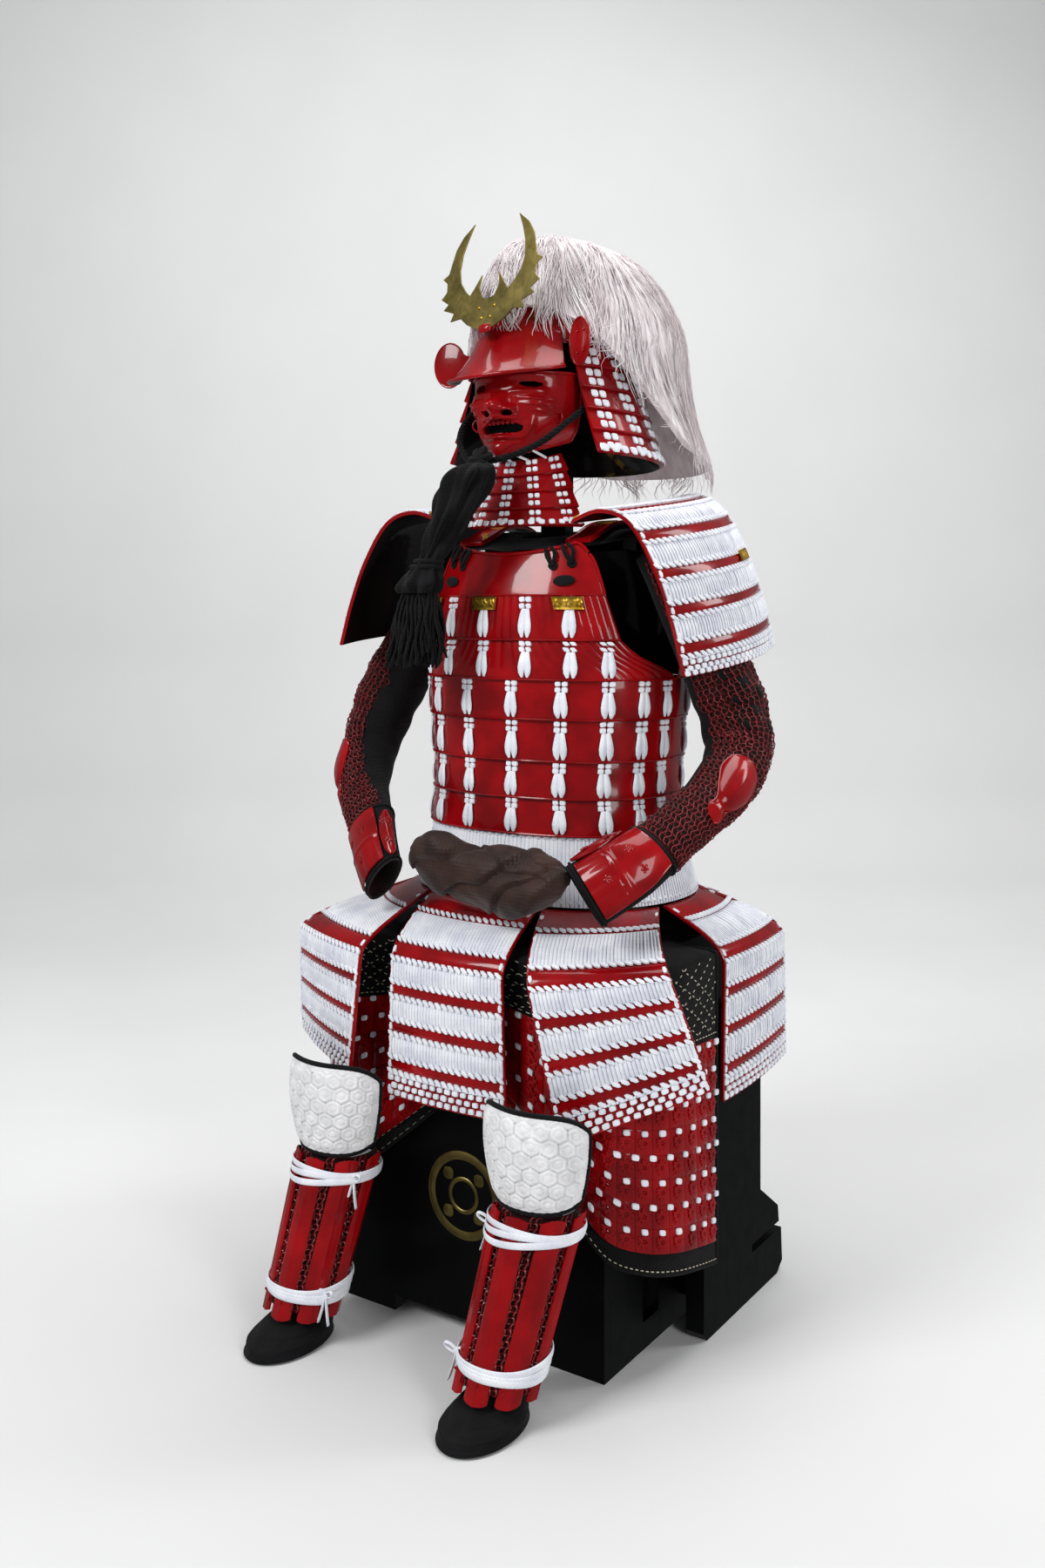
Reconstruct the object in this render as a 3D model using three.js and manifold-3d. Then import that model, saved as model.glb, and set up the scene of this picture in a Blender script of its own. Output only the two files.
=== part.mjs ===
// Red-laced samurai armour seated on its black storage box. Millimetres, +Z up.
// The wearer's left is +X and the front faces -Y. Lengths come from the constants below.
import * as THREE from "three";
import { mergeVertices } from "three/addons/utils/BufferGeometryUtils.js";
import Module from "manifold-3d";

const wasm = await Module();
wasm.setup();

// Gap that neighbouring pieces keep, and common wall thicknesses
const GAP = 0.3;
const LAME_WALL = 2.5;
const CLOTH_WALL = 3;
const LACED_WALL = 4;

// Storage box and the wooden stand inside the armour
const BOX_HALF = 222;
const BOX_BOARD = 16;
const BOX_TOP = 540;
const LID_LIP = 7;
const LID_DEPTH = 60;
const BOX_FLOOR = 100;
const LEG_OUT = 284;
const LEG_BOARD = 28;
const LEG_FRONT = -55;
const LEG_BACK = 134;
const LEG_TOP = 436;
const FOOT_BACK = 200;

// Cuirass, an oval tube open at the neck, the armholes and the hem
const HEM_Z = 699;
const CHEST_Z = 921;
const BREAST_Z = 1042;
const TORSO_HALF_DEPTH = 152;
const TORSO_CENTRE_Y = 10;
const SKIRT_Z = 602;

// Helmet and mask
const HEAD_Y = 0;
const HEAD_TURN = -10;
const BOWL_Z = 1412;
const BOWL_HALF_WIDTH = 106;
const BOWL_HALF_DEPTH = 120;
const BOWL_HEIGHT = 150;
const CREST_BOTTOM_Z = 1432;
const MASK_Y = -50;

const COLOURS = {
  lacquer: { color: 0x8f1014, roughness: 0.22, metalness: 0.0 },
  lacing: { color: 0xe9ebf2, roughness: 0.8, metalness: 0.0 },
  brass: { color: 0x8d7d45, roughness: 0.4, metalness: 0.9 },
  mail: { color: 0x5c1216, roughness: 0.6, metalness: 0.2 },
  blackCloth: { color: 0x141416, roughness: 0.95, metalness: 0.0 },
  sashCloth: { color: 0x2f1d18, roughness: 0.7, metalness: 0.0 },
  quilt: { color: 0xdcdcd8, roughness: 0.8, metalness: 0.0 },
  hair: { color: 0xcdbfc1, roughness: 0.7, metalness: 0.0 },
  board: { color: 0x121312, roughness: 0.5, metalness: 0.0 },
};

const group = new THREE.Group();

function addMesh(name, geometry, colour) {
  const mesh = new THREE.Mesh(geometry, new THREE.MeshStandardMaterial(COLOURS[colour]));
  mesh.name = name;
  group.add(mesh);
  return mesh;
}

function vec(x, y, z) {
  return new THREE.Vector3(x, y, z);
}

function radians(degrees) {
  return (degrees * Math.PI) / 180;
}

function clamp01(value) {
  return Math.min(1, Math.max(0, value));
}

// Value of a table of [key, value] rows at a key, on straight lines between the rows
function along(table, key) {
  const last = table.length - 1;
  if (key <= table[0][0]) return table[0][1];
  for (let row = 1; row <= last; row += 1) {
    const [high, value] = table[row];
    const [low, before] = table[row - 1];
    if (key <= high) return before + ((value - before) * (key - low)) / (high - low);
  }
  return table[last][1];
}

// The same with an eased, rounder course between the rows
function easedAlong(table, key) {
  const curve = new THREE.CatmullRomCurve3(table.map(([, value], row) => vec(row, value, 0)));
  const position = along(table.map(([rowKey], row) => [rowKey, row]), key);
  return curve.getPoint(position / (table.length - 1)).y;
}

function evenSteps(count) {
  return Array.from({ length: count + 1 }, (_, step) => step / count);
}

// Closed mesh from points and triangles, turned so that its faces point out
function solidFrom(points, faces) {
  let volume = 0;
  for (const [a, b, c] of faces) {
    volume += points[a].dot(vec(0, 0, 0).crossVectors(points[b], points[c]));
  }
  const turned = volume < 0 ? faces.map(([a, b, c]) => [a, c, b]) : faces;
  const geometry = new THREE.BufferGeometry();
  const position = points.flatMap((point) => [point.x, point.y, point.z]);
  geometry.setAttribute("position", new THREE.Float32BufferAttribute(position, 3));
  geometry.setIndex(turned.flat());
  geometry.computeVertexNormals();
  return geometry;
}

// A wall over a grid: base(u, v) is its middle sheet, raised by relief(u, v) outside.
// around closes the grid in u, keep(column, row) leaves cells out, and outward says
// which way the outside lies from a point of the sheet.
function wall(options) {
  const { base, thickness, outward, around = false } = options;
  const relief = options.relief ?? (() => 0);
  const keep = options.keep ?? (() => true);
  const us = Array.isArray(options.us) ? options.us : evenSteps(options.us);
  const vs = Array.isArray(options.vs) ? options.vs : evenSteps(options.vs);
  const columns = around ? us.length - 1 : us.length;
  const points = [];
  const step = 0.004;
  for (const side of [0, 1]) {
    for (const v of vs) {
      for (let column = 0; column < columns; column += 1) {
        const u = us[column];
        const point = base(u, v);
        const lowU = around ? u - step : Math.max(0, u - step);
        const highU = around ? u + step : Math.min(1, u + step);
        const alongU = base(highU, v).sub(base(lowU, v));
        const alongV = base(u, Math.min(1, v + step)).sub(base(u, Math.max(0, v - step)));
        const normal = alongU.cross(alongV).normalize();
        if (normal.dot(outward(point, u, v)) < 0) normal.negate();
        const offset = side === 0 ? thickness / 2 + relief(u, v) : -thickness / 2;
        points.push(point.addScaledVector(normal, offset));
      }
    }
  }
  const layer = columns * vs.length;
  const cells = around ? columns : columns - 1;
  const rows = vs.length - 1;
  const index = (side, column, row) => side * layer + row * columns + (column % columns);
  const kept = (column, row) => {
    if (row < 0 || row >= rows) return false;
    if (!around && (column < 0 || column >= cells)) return false;
    return keep((column + cells) % cells, row);
  };
  const faces = [];
  const quad = (a, b, c, d) => faces.push([a, b, c], [a, c, d]);
  for (let row = 0; row < rows; row += 1) {
    for (let column = 0; column < cells; column += 1) {
      if (!kept(column, row)) continue;
      const corner = (side, du, dv) => index(side, column + du, row + dv);
      quad(corner(0, 0, 0), corner(0, 1, 0), corner(0, 1, 1), corner(0, 0, 1));
      quad(corner(1, 0, 0), corner(1, 0, 1), corner(1, 1, 1), corner(1, 1, 0));
      if (!kept(column, row - 1)) quad(corner(0, 1, 0), corner(0, 0, 0), corner(1, 0, 0), corner(1, 1, 0));
      if (!kept(column, row + 1)) quad(corner(0, 0, 1), corner(0, 1, 1), corner(1, 1, 1), corner(1, 0, 1));
      if (!kept(column - 1, row)) quad(corner(0, 0, 0), corner(0, 0, 1), corner(1, 0, 1), corner(1, 0, 0));
      if (!kept(column + 1, row)) quad(corner(0, 1, 1), corner(0, 1, 0), corner(1, 1, 0), corner(1, 1, 1));
    }
  }
  return compact(points, faces);
}

// Leaves out the points that no face uses
function compact(points, faces) {
  const order = new Map();
  const used = [];
  const renamed = faces.map((face) => face.map((corner) => {
    if (!order.has(corner)) {
      order.set(corner, used.length);
      used.push(points[corner]);
    }
    return order.get(corner);
  }));
  return solidFrom(used, renamed);
}

// A closed body lofted through rings of points, with a flat fan at each end
function loft(rings) {
  const count = rings[0].length;
  const points = rings.flat();
  const faces = [];
  for (let ring = 0; ring < rings.length - 1; ring += 1) {
    for (let corner = 0; corner < count; corner += 1) {
      const a = ring * count + corner;
      const b = ring * count + ((corner + 1) % count);
      faces.push([a, b, b + count], [a, b + count, a + count]);
    }
  }
  const lastStart = (rings.length - 1) * count;
  for (const [ring, start, turn] of [[rings[0], 0, 1], [rings[rings.length - 1], lastStart, -1]]) {
    const middle = ring.reduce((sum, point) => sum.add(point), vec(0, 0, 0)).divideScalar(count);
    const centre = points.push(middle) - 1;
    for (let corner = 0; corner < count; corner += 1) {
      const a = start + corner;
      const b = start + ((corner + 1) % count);
      faces.push(turn > 0 ? [centre, b, a] : [centre, a, b]);
    }
  }
  return solidFrom(points, faces);
}

// An outline of [first, second] points pushed through a depth along a chosen axis
function board(outline, depth, place) {
  const shape = new THREE.Shape(outline.map(([first, second]) => new THREE.Vector2(first, second)));
  const geometry = new THREE.ExtrudeGeometry(shape, { depth, bevelEnabled: false, curveSegments: 6 });
  geometry.applyMatrix4(place);
  return closed(geometry);
}

// The same geometry with shared corners and no attributes but position
function closed(geometry) {
  geometry.deleteAttribute("normal");
  geometry.deleteAttribute("uv");
  return mergeVertices(geometry, 1e-3);
}

function block(low, high) {
  const size = high.map((value, axis) => value - low[axis]);
  const geometry = closed(new THREE.BoxGeometry(...size));
  geometry.translate(...low.map((value, axis) => value + size[axis] / 2));
  return geometry;
}

function toManifold(geometry) {
  const vertProperties = Float32Array.from(geometry.attributes.position.array);
  const triVerts = Uint32Array.from(geometry.index.array);
  return new wasm.Manifold(new wasm.Mesh({ numProp: 3, vertProperties, triVerts }));
}

function fromManifold(manifold) {
  const mesh = manifold.getMesh();
  const geometry = new THREE.BufferGeometry();
  const position = new THREE.Float32BufferAttribute(mesh.vertProperties, 3);
  geometry.setAttribute("position", position);
  geometry.setIndex(Array.from(mesh.triVerts));
  return geometry;
}

// Joined solids less the ones cut out of them
function joined(solids, cuts = []) {
  let whole = toManifold(solids[0]);
  for (const solid of solids.slice(1)) whole = whole.add(toManifold(solid));
  for (const cut of cuts) whole = whole.subtract(toManifold(cut));
  return fromManifold(whole);
}

// Storage box: boards, lid, and a leg board at each side that stands off on battens
const ALONG_X = new THREE.Matrix4().makeBasis(vec(0, 1, 0), vec(0, 0, 1), vec(1, 0, 0));

function addStorageBox() {
  const inner = BOX_HALF - BOX_BOARD;
  const lidBottom = BOX_TOP - LID_DEPTH;
  const wallTop = BOX_TOP - BOX_BOARD - GAP;
  const front = block([-BOX_HALF, -BOX_HALF, 0], [BOX_HALF, -inner, lidBottom - GAP]);
  const frontNeck = block([-BOX_HALF + LID_LIP, -BOX_HALF + LID_LIP, lidBottom - 8],
    [BOX_HALF - LID_LIP, -inner, wallTop]);
  const recess = block([-BOX_HALF + 90, -BOX_HALF - 1, -1], [BOX_HALF - 90, -inner + 1, 22]);
  addMesh("box_front", joined([front, frontNeck], [recess]), "board");
  const back = block([-BOX_HALF, inner, 0], [BOX_HALF, BOX_HALF, lidBottom - GAP]);
  const backNeck = block([-BOX_HALF + LID_LIP, inner, lidBottom - 8],
    [BOX_HALF - LID_LIP, BOX_HALF - LID_LIP, wallTop]);
  const backRecess = block([-BOX_HALF + 90, inner - 1, -1], [BOX_HALF - 90, BOX_HALF + 1, 22]);
  addMesh("box_back", joined([back, backNeck], [backRecess]), "board");
  for (const [side, name] of [[1, "left"], [-1, "right"]]) {
    const span = (from, to) => [Math.min(side * from, side * to), Math.max(side * from, side * to)];
    const slab = (from, to, y0, y1, z0, z1) => {
      const [low, high] = span(from, to);
      return block([low, y0, z0], [high, y1, z1]);
    };
    const end = inner - GAP;
    const plank = slab(inner, BOX_HALF, -end, end, 0, lidBottom - GAP);
    const neck = slab(inner, BOX_HALF - LID_LIP, -end, end, lidBottom - 8, wallTop);
    const hole = slab(inner - 1, BOX_HALF + 1, -118, -72, 38, 98);
    const battens = [0, 110].map((y) => slab(BOX_HALF - 1, LEG_OUT - LEG_BOARD - GAP, y, y + 28, 30, LEG_TOP - 10));
    addMesh("box_side_" + name, joined([plank, neck, ...battens], [hole]), "board");
    const outline = [
      [LEG_FRONT + 10, 0], [FOOT_BACK - 6, 0], [FOOT_BACK + 14, 14], [FOOT_BACK + 10, 66],
      [LEG_BACK - 30, 66], [LEG_BACK - 30, 78], [FOOT_BACK + 2, 78], [FOOT_BACK - 2, 104],
      [LEG_BACK, 150], [LEG_BACK, LEG_TOP], [LEG_FRONT, LEG_TOP], [LEG_FRONT, 12],
    ];
    const [legLow] = span(LEG_OUT - LEG_BOARD, LEG_OUT);
    const place = ALONG_X.clone().setPosition(legLow, 0, 0);
    addMesh("box_leg_" + name, board(outline, LEG_BOARD, place), "board");
  }
  const floorHalf = inner - GAP;
  addMesh("box_floor", block([-floorHalf, -floorHalf, BOX_FLOOR - BOX_BOARD],
    [floorHalf, floorHalf, BOX_FLOOR]), "board");
  const lid = block([-BOX_HALF, -BOX_HALF, lidBottom], [BOX_HALF, BOX_HALF, BOX_TOP]);
  const rim = BOX_HALF - LID_LIP + GAP;
  const hollow = block([-rim, -rim, lidBottom - 1], [rim, rim, wallTop + GAP]);
  addMesh("box_lid", joined([lid], [hollow]), "board");
}

// Wooden stand: a foot on the lid, a post, a shoulder bar and a head board
function addStand() {
  const post = block([-22, -2, BOX_TOP + 10], [22, 22, 1400]);
  const foot = block([-90, -60, BOX_TOP + GAP], [90, 80, BOX_TOP + 24]);
  const shoulders = block([-126, -6, 1112], [126, 34, 1136]);
  const head = block([-58, -66, 1396], [58, 62, 1416]);
  addMesh("stand_post", joined([post, foot, shoulders, head]), "board");
}
addStorageBox();
addStand();

// Cuirass. The angle runs round the body from the front centre towards the wearer's left.
const TORSO_WIDTHS = [[HEM_Z, 197], [770, 190], [850, 197], [CHEST_Z, 204], [BREAST_Z, 192], [1125, 172]];
const TORSO_DEPTHS = [[HEM_Z, 150], [820, 148], [CHEST_Z, TORSO_HALF_DEPTH], [BREAST_Z, 148], [1125, 126]];
const SQUARENESS = 0.1;
const SEAM_ANGLE = 89.94;

function torsoPoint(angle, z, offset = 0) {
  const turn = radians(angle);
  const across = Math.sin(turn);
  const deep = Math.cos(turn);
  const width = along(TORSO_WIDTHS, z) + offset;
  const depth = along(TORSO_DEPTHS, z) + offset;
  return vec(width * across * (1 + SQUARENESS * deep * deep),
    TORSO_CENTRE_Y - depth * deep * (1 + SQUARENESS * across * across), z);
}

function fromTorsoAxis(point) {
  return vec(point.x, point.y - TORSO_CENTRE_Y, 0);
}

// One lame of the cuirass: reach(v) is its half angle, and centre is 0 at the front, 180 behind
function lame(name, options) {
  const { top, bottom, reach, centre, columns = 16 } = options;
  const flare = options.flare ?? 3.5;
  const ridge = options.ridge ?? 0;
  const rows = options.rows ?? [0, 0.5, 1];
  const base = (u, v) => torsoPoint(centre + (2 * u - 1) * reach(v), top(u) + (bottom - top(u)) * v);
  const relief = (u, v) => flare * v + (Math.round(u * columns) % 2) * ridge;
  const geometry = wall({ us: columns, vs: rows, base, relief, thickness: LAME_WALL, outward: fromTorsoAxis });
  addMesh(name, geometry, "lacquer");
}

const WAIST_ROWS = [CHEST_Z, 864, 804, 751, HEM_Z];
const CHEST_SPLIT = 978;

function addCuirass() {
  const seam = () => SEAM_ANGLE;
  const breastTop = (u) => {
    const side = Math.abs(2 * u - 1);
    return 1104 + 22 * side ** 2 - 26 * clamp01((side - 0.8) / 0.2) ** 2;
  };
  lame("breast_board", {
    top: breastTop, bottom: BREAST_Z + GAP, centre: 0, columns: 16, flare: 0,
    reach: (v) => 40 + 8 * Math.sqrt(v), rows: [0, 0.12, 0.5, 1],
  });
  lame("chest_lame_1", {
    top: () => BREAST_Z, bottom: CHEST_SPLIT + GAP, centre: 0, columns: 20, ridge: 1.4,
    reach: (v) => 48 + 6 * v,
  });
  const armhole = [[0, 55], [0.35, 62], [0.6, 74], [0.8, 84], [1, SEAM_ANGLE]];
  lame("chest_lame_2", {
    top: () => CHEST_SPLIT, bottom: CHEST_Z + GAP, centre: 0, columns: 24, ridge: 1.4,
    reach: (v) => along(armhole, v), rows: [0, 0.35, 0.6, 0.8, 1],
  });
  for (let row = 0; row < 4; row += 1) {
    const top = () => WAIST_ROWS[row];
    const bottom = WAIST_ROWS[row + 1] + (row < 3 ? GAP : 0);
    lame("waist_front_" + (row + 1), { top, bottom, centre: 0, reach: seam, columns: 14, rows: [0, 1] });
  }
  const backArmhole = [[0, 38], [0.45, 42], [0.75, 54], [0.9, 74], [1, SEAM_ANGLE]];
  lame("back_board", {
    top: () => 1126, bottom: CHEST_Z + GAP, centre: 180, columns: 14,
    reach: (v) => along(backArmhole, v), rows: [0, 0.25, 0.45, 0.75, 0.9, 1],
  });
  addBackWaist(seam);
}

// The four lames behind are laced into one plate, stepped at each lame
function addBackWaist(seam) {
  const height = CHEST_Z - HEM_Z;
  const rows = [0];
  for (const z of WAIST_ROWS.slice(1, 4)) rows.push((CHEST_Z - z) / height - 0.004, (CHEST_Z - z) / height + 0.004);
  rows.push(1);
  const base = (u, v) => torsoPoint(180 + (2 * u - 1) * seam(), CHEST_Z - height * v);
  const relief = (u, v) => {
    const z = CHEST_Z - height * v;
    const row = WAIST_ROWS.findIndex((edge) => z > edge) - 1;
    const level = row < 0 ? 3 : row;
    const [high, low] = [WAIST_ROWS[level], WAIST_ROWS[level + 1]];
    return 3.5 * clamp01((high - z) / (high - low));
  };
  addMesh("waist_back", wall({ us: 14, vs: rows, base, relief, thickness: LAME_WALL, outward: fromTorsoAxis }),
    "lacquer");
}

// Lacing apron below the hem, an open ring of cords that the tassets hang from
const SKIRT_OUT = [[SKIRT_Z, 20], [660, 5], [HEM_Z, -1]];

function skirtPoint(angle, z) {
  return torsoPoint(angle, HEM_Z, along(SKIRT_OUT, z)).setZ(z);
}

function addLacingSkirt() {
  const top = HEM_Z - 0.9;
  const base = (u, v) => skirtPoint(360 * u, top - (top - SKIRT_Z) * v);
  const relief = (u) => (Math.round(u * 36) % 2) * 1.5;
  addMesh("lacing_skirt", wall({
    us: 36, vs: 2, around: true, base, relief, thickness: LACED_WALL, outward: fromTorsoAxis,
  }), "lacing");
}
addCuirass();
addLacingSkirt();

// Shoulder cloth with a hole for the neck; the straps of the cuirass lie on it
const SHOULDER_LINE = [
  [-118, 1098], [-95, 1112], [-60, 1124], [-20, 1140], [20, 1146], [60, 1140], [92, 1118], [112, 1102],
];
const YOKE_HALF = 168;

function shoulderZ(x, y) {
  const outer = clamp01((Math.abs(x) - 110) / 60);
  return easedAlong(SHOULDER_LINE, y) - 9 * outer * outer;
}

function addYoke() {
  const base = (u, v) => {
    const turn = 2 * Math.PI * u;
    const reach = 0.42 + 0.58 * v;
    const x = YOKE_HALF * reach * Math.sin(turn);
    const y = -96 * reach * Math.cos(turn) * (1 + 0.12 * Math.sin(turn) ** 2);
    return vec(x, y, shoulderZ(x, y));
  };
  addMesh("sleeve_yoke", wall({
    us: 16, vs: 3, around: true, base, thickness: CLOTH_WALL, outward: () => vec(0, 0, 1),
  }), "blackCloth");
}

function addStrap(side, name) {
  const half = 21;
  const thick = 5;
  const lift = (CLOTH_WALL + thick) / 2 + 2.8;
  const base = (u, v) => {
    const y = 100 - 186 * v;
    const x = side * (96 + half * (2 * u - 1));
    return vec(x, y, easedAlong(SHOULDER_LINE, y) + lift);
  };
  addMesh("strap_" + name, wall({ us: 2, vs: 8, base, thickness: thick, outward: () => vec(0, 0, 1) }), "lacquer");
}
addYoke();
addStrap(1, "left");
addStrap(-1, "right");

// Helmet. Angles run round the head from the front towards the wearer's left.
// The whole helmet is turned a little to the wearer's right.
function headTurned(point) {
  return point.applyAxisAngle(vec(0, 0, 1), radians(HEAD_TURN));
}

function roundHead(angle, halfWidth, halfDepth, z) {
  const turn = radians(angle);
  return headTurned(vec(halfWidth * Math.sin(turn), HEAD_Y - halfDepth * Math.cos(turn), z));
}

function fromHead(point) {
  return vec(point.x, point.y - HEAD_Y, 0);
}

function addBowl() {
  const base = (u, v) => {
    const rise = radians(83 * (1 - v));
    const point = roundHead(360 * u, BOWL_HALF_WIDTH * Math.cos(rise), BOWL_HALF_DEPTH * Math.cos(rise), 0);
    return point.setZ(BOWL_Z + BOWL_HEIGHT * Math.sin(rise));
  };
  addMesh("helmet_bowl", wall({
    us: 18, vs: 5, around: true, base, thickness: 3, outward: (point) => point.clone().sub(vec(0, HEAD_Y, BOWL_Z)),
  }), "lacquer");
}

// Front plate with the peak, which springs forward as it comes down
const PEAK_REACH = 52;

function addPeak() {
  const base = (u, v) => {
    const side = 2 * u - 1;
    const forward = Math.cos(radians(PEAK_REACH * side)) ** 1.5;
    const out = 4.4 + 9 * v + 46 * forward * v * v;
    const top = CREST_BOTTOM_Z + 18 * (1 - side * side);
    const bottom = 1358 + 14 * side * side;
    return roundHead(PEAK_REACH * side, BOWL_HALF_WIDTH + out, BOWL_HALF_DEPTH + out, top + (bottom - top) * v);
  };
  addMesh("helmet_peak", wall({ us: 12, vs: 4, base, thickness: 3, outward: fromHead }), "lacquer");
}

// Turned-back ear plates, which face forward at each side
function addTurnback(side, name) {
  const outline = [];
  for (let corner = 0; corner < 16; corner += 1) {
    const turn = (2 * Math.PI * corner) / 16;
    outline.push([26 * Math.cos(turn), 34 * Math.sin(turn)]);
  }
  const splay = radians(18);
  const across = headTurned(vec(side * Math.cos(splay), -Math.sin(splay), 0));
  const up = vec(0, 0, 1);
  const out = across.clone().cross(up);
  const root = headTurned(vec(side * 119, -84, 1404));
  const centre = root.addScaledVector(across, 22);
  const place = new THREE.Matrix4().makeBasis(across, up, out).setPosition(centre);
  addMesh("turnback_" + name, board(outline, 3, place), "lacquer");
}

// Crest plate: two barbed horns and two inner ones. One half, [across, up] from its foot.
const CREST_HALF = [
  [0, 0], [15, 3], [30, 12], [42, 24], [58, 22], [54, 34], [72, 42], [65, 50], [78, 60], [70, 70],
  [71, 84], [79, 92], [70, 98], [67, 112], [62, 134], [52, 152], [36, 168], [44, 146], [50, 124],
  [52, 100], [48, 80], [38, 64], [30, 56], [24, 66], [14, 84], [16, 66], [10, 50], [0, 46],
];
const CREST_THICK = 2;
const CREST_LEAN = 9;
const CREST_SPREAD = 1.3;

function addCrest() {
  const half = CREST_HALF.map(([across, up]) => [across * CREST_SPREAD, up]);
  const other = half.slice(1, -1).reverse().map(([across, up]) => [-across, up]);
  const lean = radians(CREST_LEAN);
  const up = headTurned(vec(0, Math.sin(lean), Math.cos(lean)));
  const across = headTurned(vec(1, 0, 0));
  const foot = headTurned(vec(0, -148, CREST_BOTTOM_Z));
  const place = new THREE.Matrix4().makeBasis(across, up, across.clone().cross(up)).setPosition(foot);
  addMesh("crest_horns", board([...half, ...other], CREST_THICK, place), "brass");
}

// Neck guard: five flaring lames in one laced sheet, stepped out at each lame
const NECK_TIERS = 5;
const NECK_TOP = 1406;
const NECK_BOTTOM = 1246;

function tierRows(tiers, cuts) {
  const rows = [];
  for (let tier = 0; tier < tiers; tier += 1) {
    for (const cut of cuts) rows.push((tier + cut) / tiers);
  }
  rows.push(1);
  return rows;
}

function addNeckGuard() {
  const base = (u, v) => {
    const left = 59.5 + 9 * v;
    const right = 53.5 + 9 * v;
    const angle = left + (360 - left - right) * u;
    const out = 9 + 42 * v ** 1.2;
    const lift = 6 * Math.cos(radians(angle)) * v;
    return roundHead(angle, BOWL_HALF_WIDTH + out, BOWL_HALF_DEPTH + 4 + out, NECK_TOP + lift
      + (NECK_BOTTOM - NECK_TOP) * v);
  };
  const relief = (u, v) => 5 * ((v * NECK_TIERS) % 1) * (v < 1 ? 1 : 0) + (v < 1 ? 0 : 5);
  addMesh("neck_guard", wall({
    us: 18, vs: tierRows(NECK_TIERS, [0, 0.97]), base, relief, thickness: LAME_WALL, outward: fromHead,
  }), "lacquer");
}

// Mask: a half shell with brow, nose, cheeks and chin, open at the eyes and the mouth
const MASK_HALF_WIDTHS = [[1244, 40], [1262, 62], [1290, 80], [1330, 87], [1372, 88]];
const MASK_DEPTHS = [[1244, 88], [1262, 96], [1290, 96], [1330, 96], [1372, 92]];
const MASK_TOP = 1366;
const MASK_BOTTOM = 1246;

function bump(value, centre, half) {
  const away = Math.abs(value - centre) / half;
  return away < 1 ? Math.cos((away * Math.PI) / 2) ** 2 : 0;
}

function addMask() {
  const base = (u, v) => {
    const side = 2 * u - 1;
    const angle = 84 * side;
    const bottom = MASK_BOTTOM + 34 * clamp01(Math.abs(side) - 0.25) ** 1.3;
    const z = MASK_TOP + (bottom - MASK_TOP) * v;
    const turn = radians(angle);
    return vec(along(MASK_HALF_WIDTHS, z) * Math.sin(turn), MASK_Y - along(MASK_DEPTHS, z) * Math.cos(turn), z);
  };
  const relief = (u, v) => {
    const angle = 84 * (2 * u - 1);
    const wide = Math.abs(angle);
    const nose = 22 * bump(angle, 0, 15) * bump(v, 0.38, 0.26);
    const nostrils = 9 * bump(wide, 12, 9) * bump(v, 0.44, 0.14);
    const cheeks = 8 * bump(wide, 38, 22) * bump(v, 0.36, 0.24);
    const lips = 6 * bump(wide, 0, 34) * (bump(v, 0.58, 0.08) + bump(v, 0.78, 0.08));
    const chin = 10 * bump(wide, 0, 26) * bump(v, 0.95, 0.2);
    return nose + nostrils + cheeks + lips + chin;
  };
  const us = [];
  for (let column = 0; column <= 16; column += 1) us.push(column / 16);
  const vs = [0, 0.1, 0.2, 0.3, 0.38, 0.45, 0.52, 0.58, 0.64, 0.72, 0.78, 0.86, 0.94, 1];
  const keep = (column, row) => {
    const mouth = row === 8 && column >= 5 && column < 11;
    const eye = row === 1 && ((column >= 4 && column < 6) || (column >= 10 && column < 12));
    return !mouth && !eye;
  };
  const outward = (point) => vec(point.x, point.y - MASK_Y, 0);
  addMesh("face_mask", wall({ us, vs, base, relief, keep, thickness: 3, outward }), "lacquer");
}

// Throat guard: four lames that hang from the chin of the mask and flare forward
const THROAT_TIERS = 4;

function addThroatGuard() {
  const base = (u, v) => {
    const angle = 72 * (2 * u - 1);
    const turn = radians(angle);
    const top = 1241 + 12 * (2 * u - 1) ** 2;
    const z = top + (1143 - top) * v;
    return vec((58 + 44 * v) * Math.sin(turn), -46 - (66 + 22 * v) * Math.cos(turn), z);
  };
  const relief = (u, v) => 5 * ((v * THROAT_TIERS) % 1) * (v < 1 ? 1 : 0) + (v < 1 ? 0 : 5);
  addMesh("throat_guard", wall({
    us: 12, vs: tierRows(THROAT_TIERS, [0, 0.97]), base, relief, thickness: LAME_WALL,
    outward: (point) => vec(point.x, point.y + 46, 0),
  }), "lacquer");
}
addBowl();
addPeak();
addTurnback(1, "left");
addTurnback(-1, "right");
addCrest();
addNeckGuard();
addMask();
addThroatGuard();

// Horse-hair mane: it lies on the bowl in front, stands off behind and falls over the neck guard.
// Its course is counted 0 to 1 over the crown and 1 to 2 down the back.
const MANE_WALL = 8;
const MANE_REACH = [[0, 0.75], [45, 0.8], [70, 0.94], [95, 1.3], [118, 1.85], [150, 2], [180, 2]];
const MANE_FALL = 172;

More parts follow.
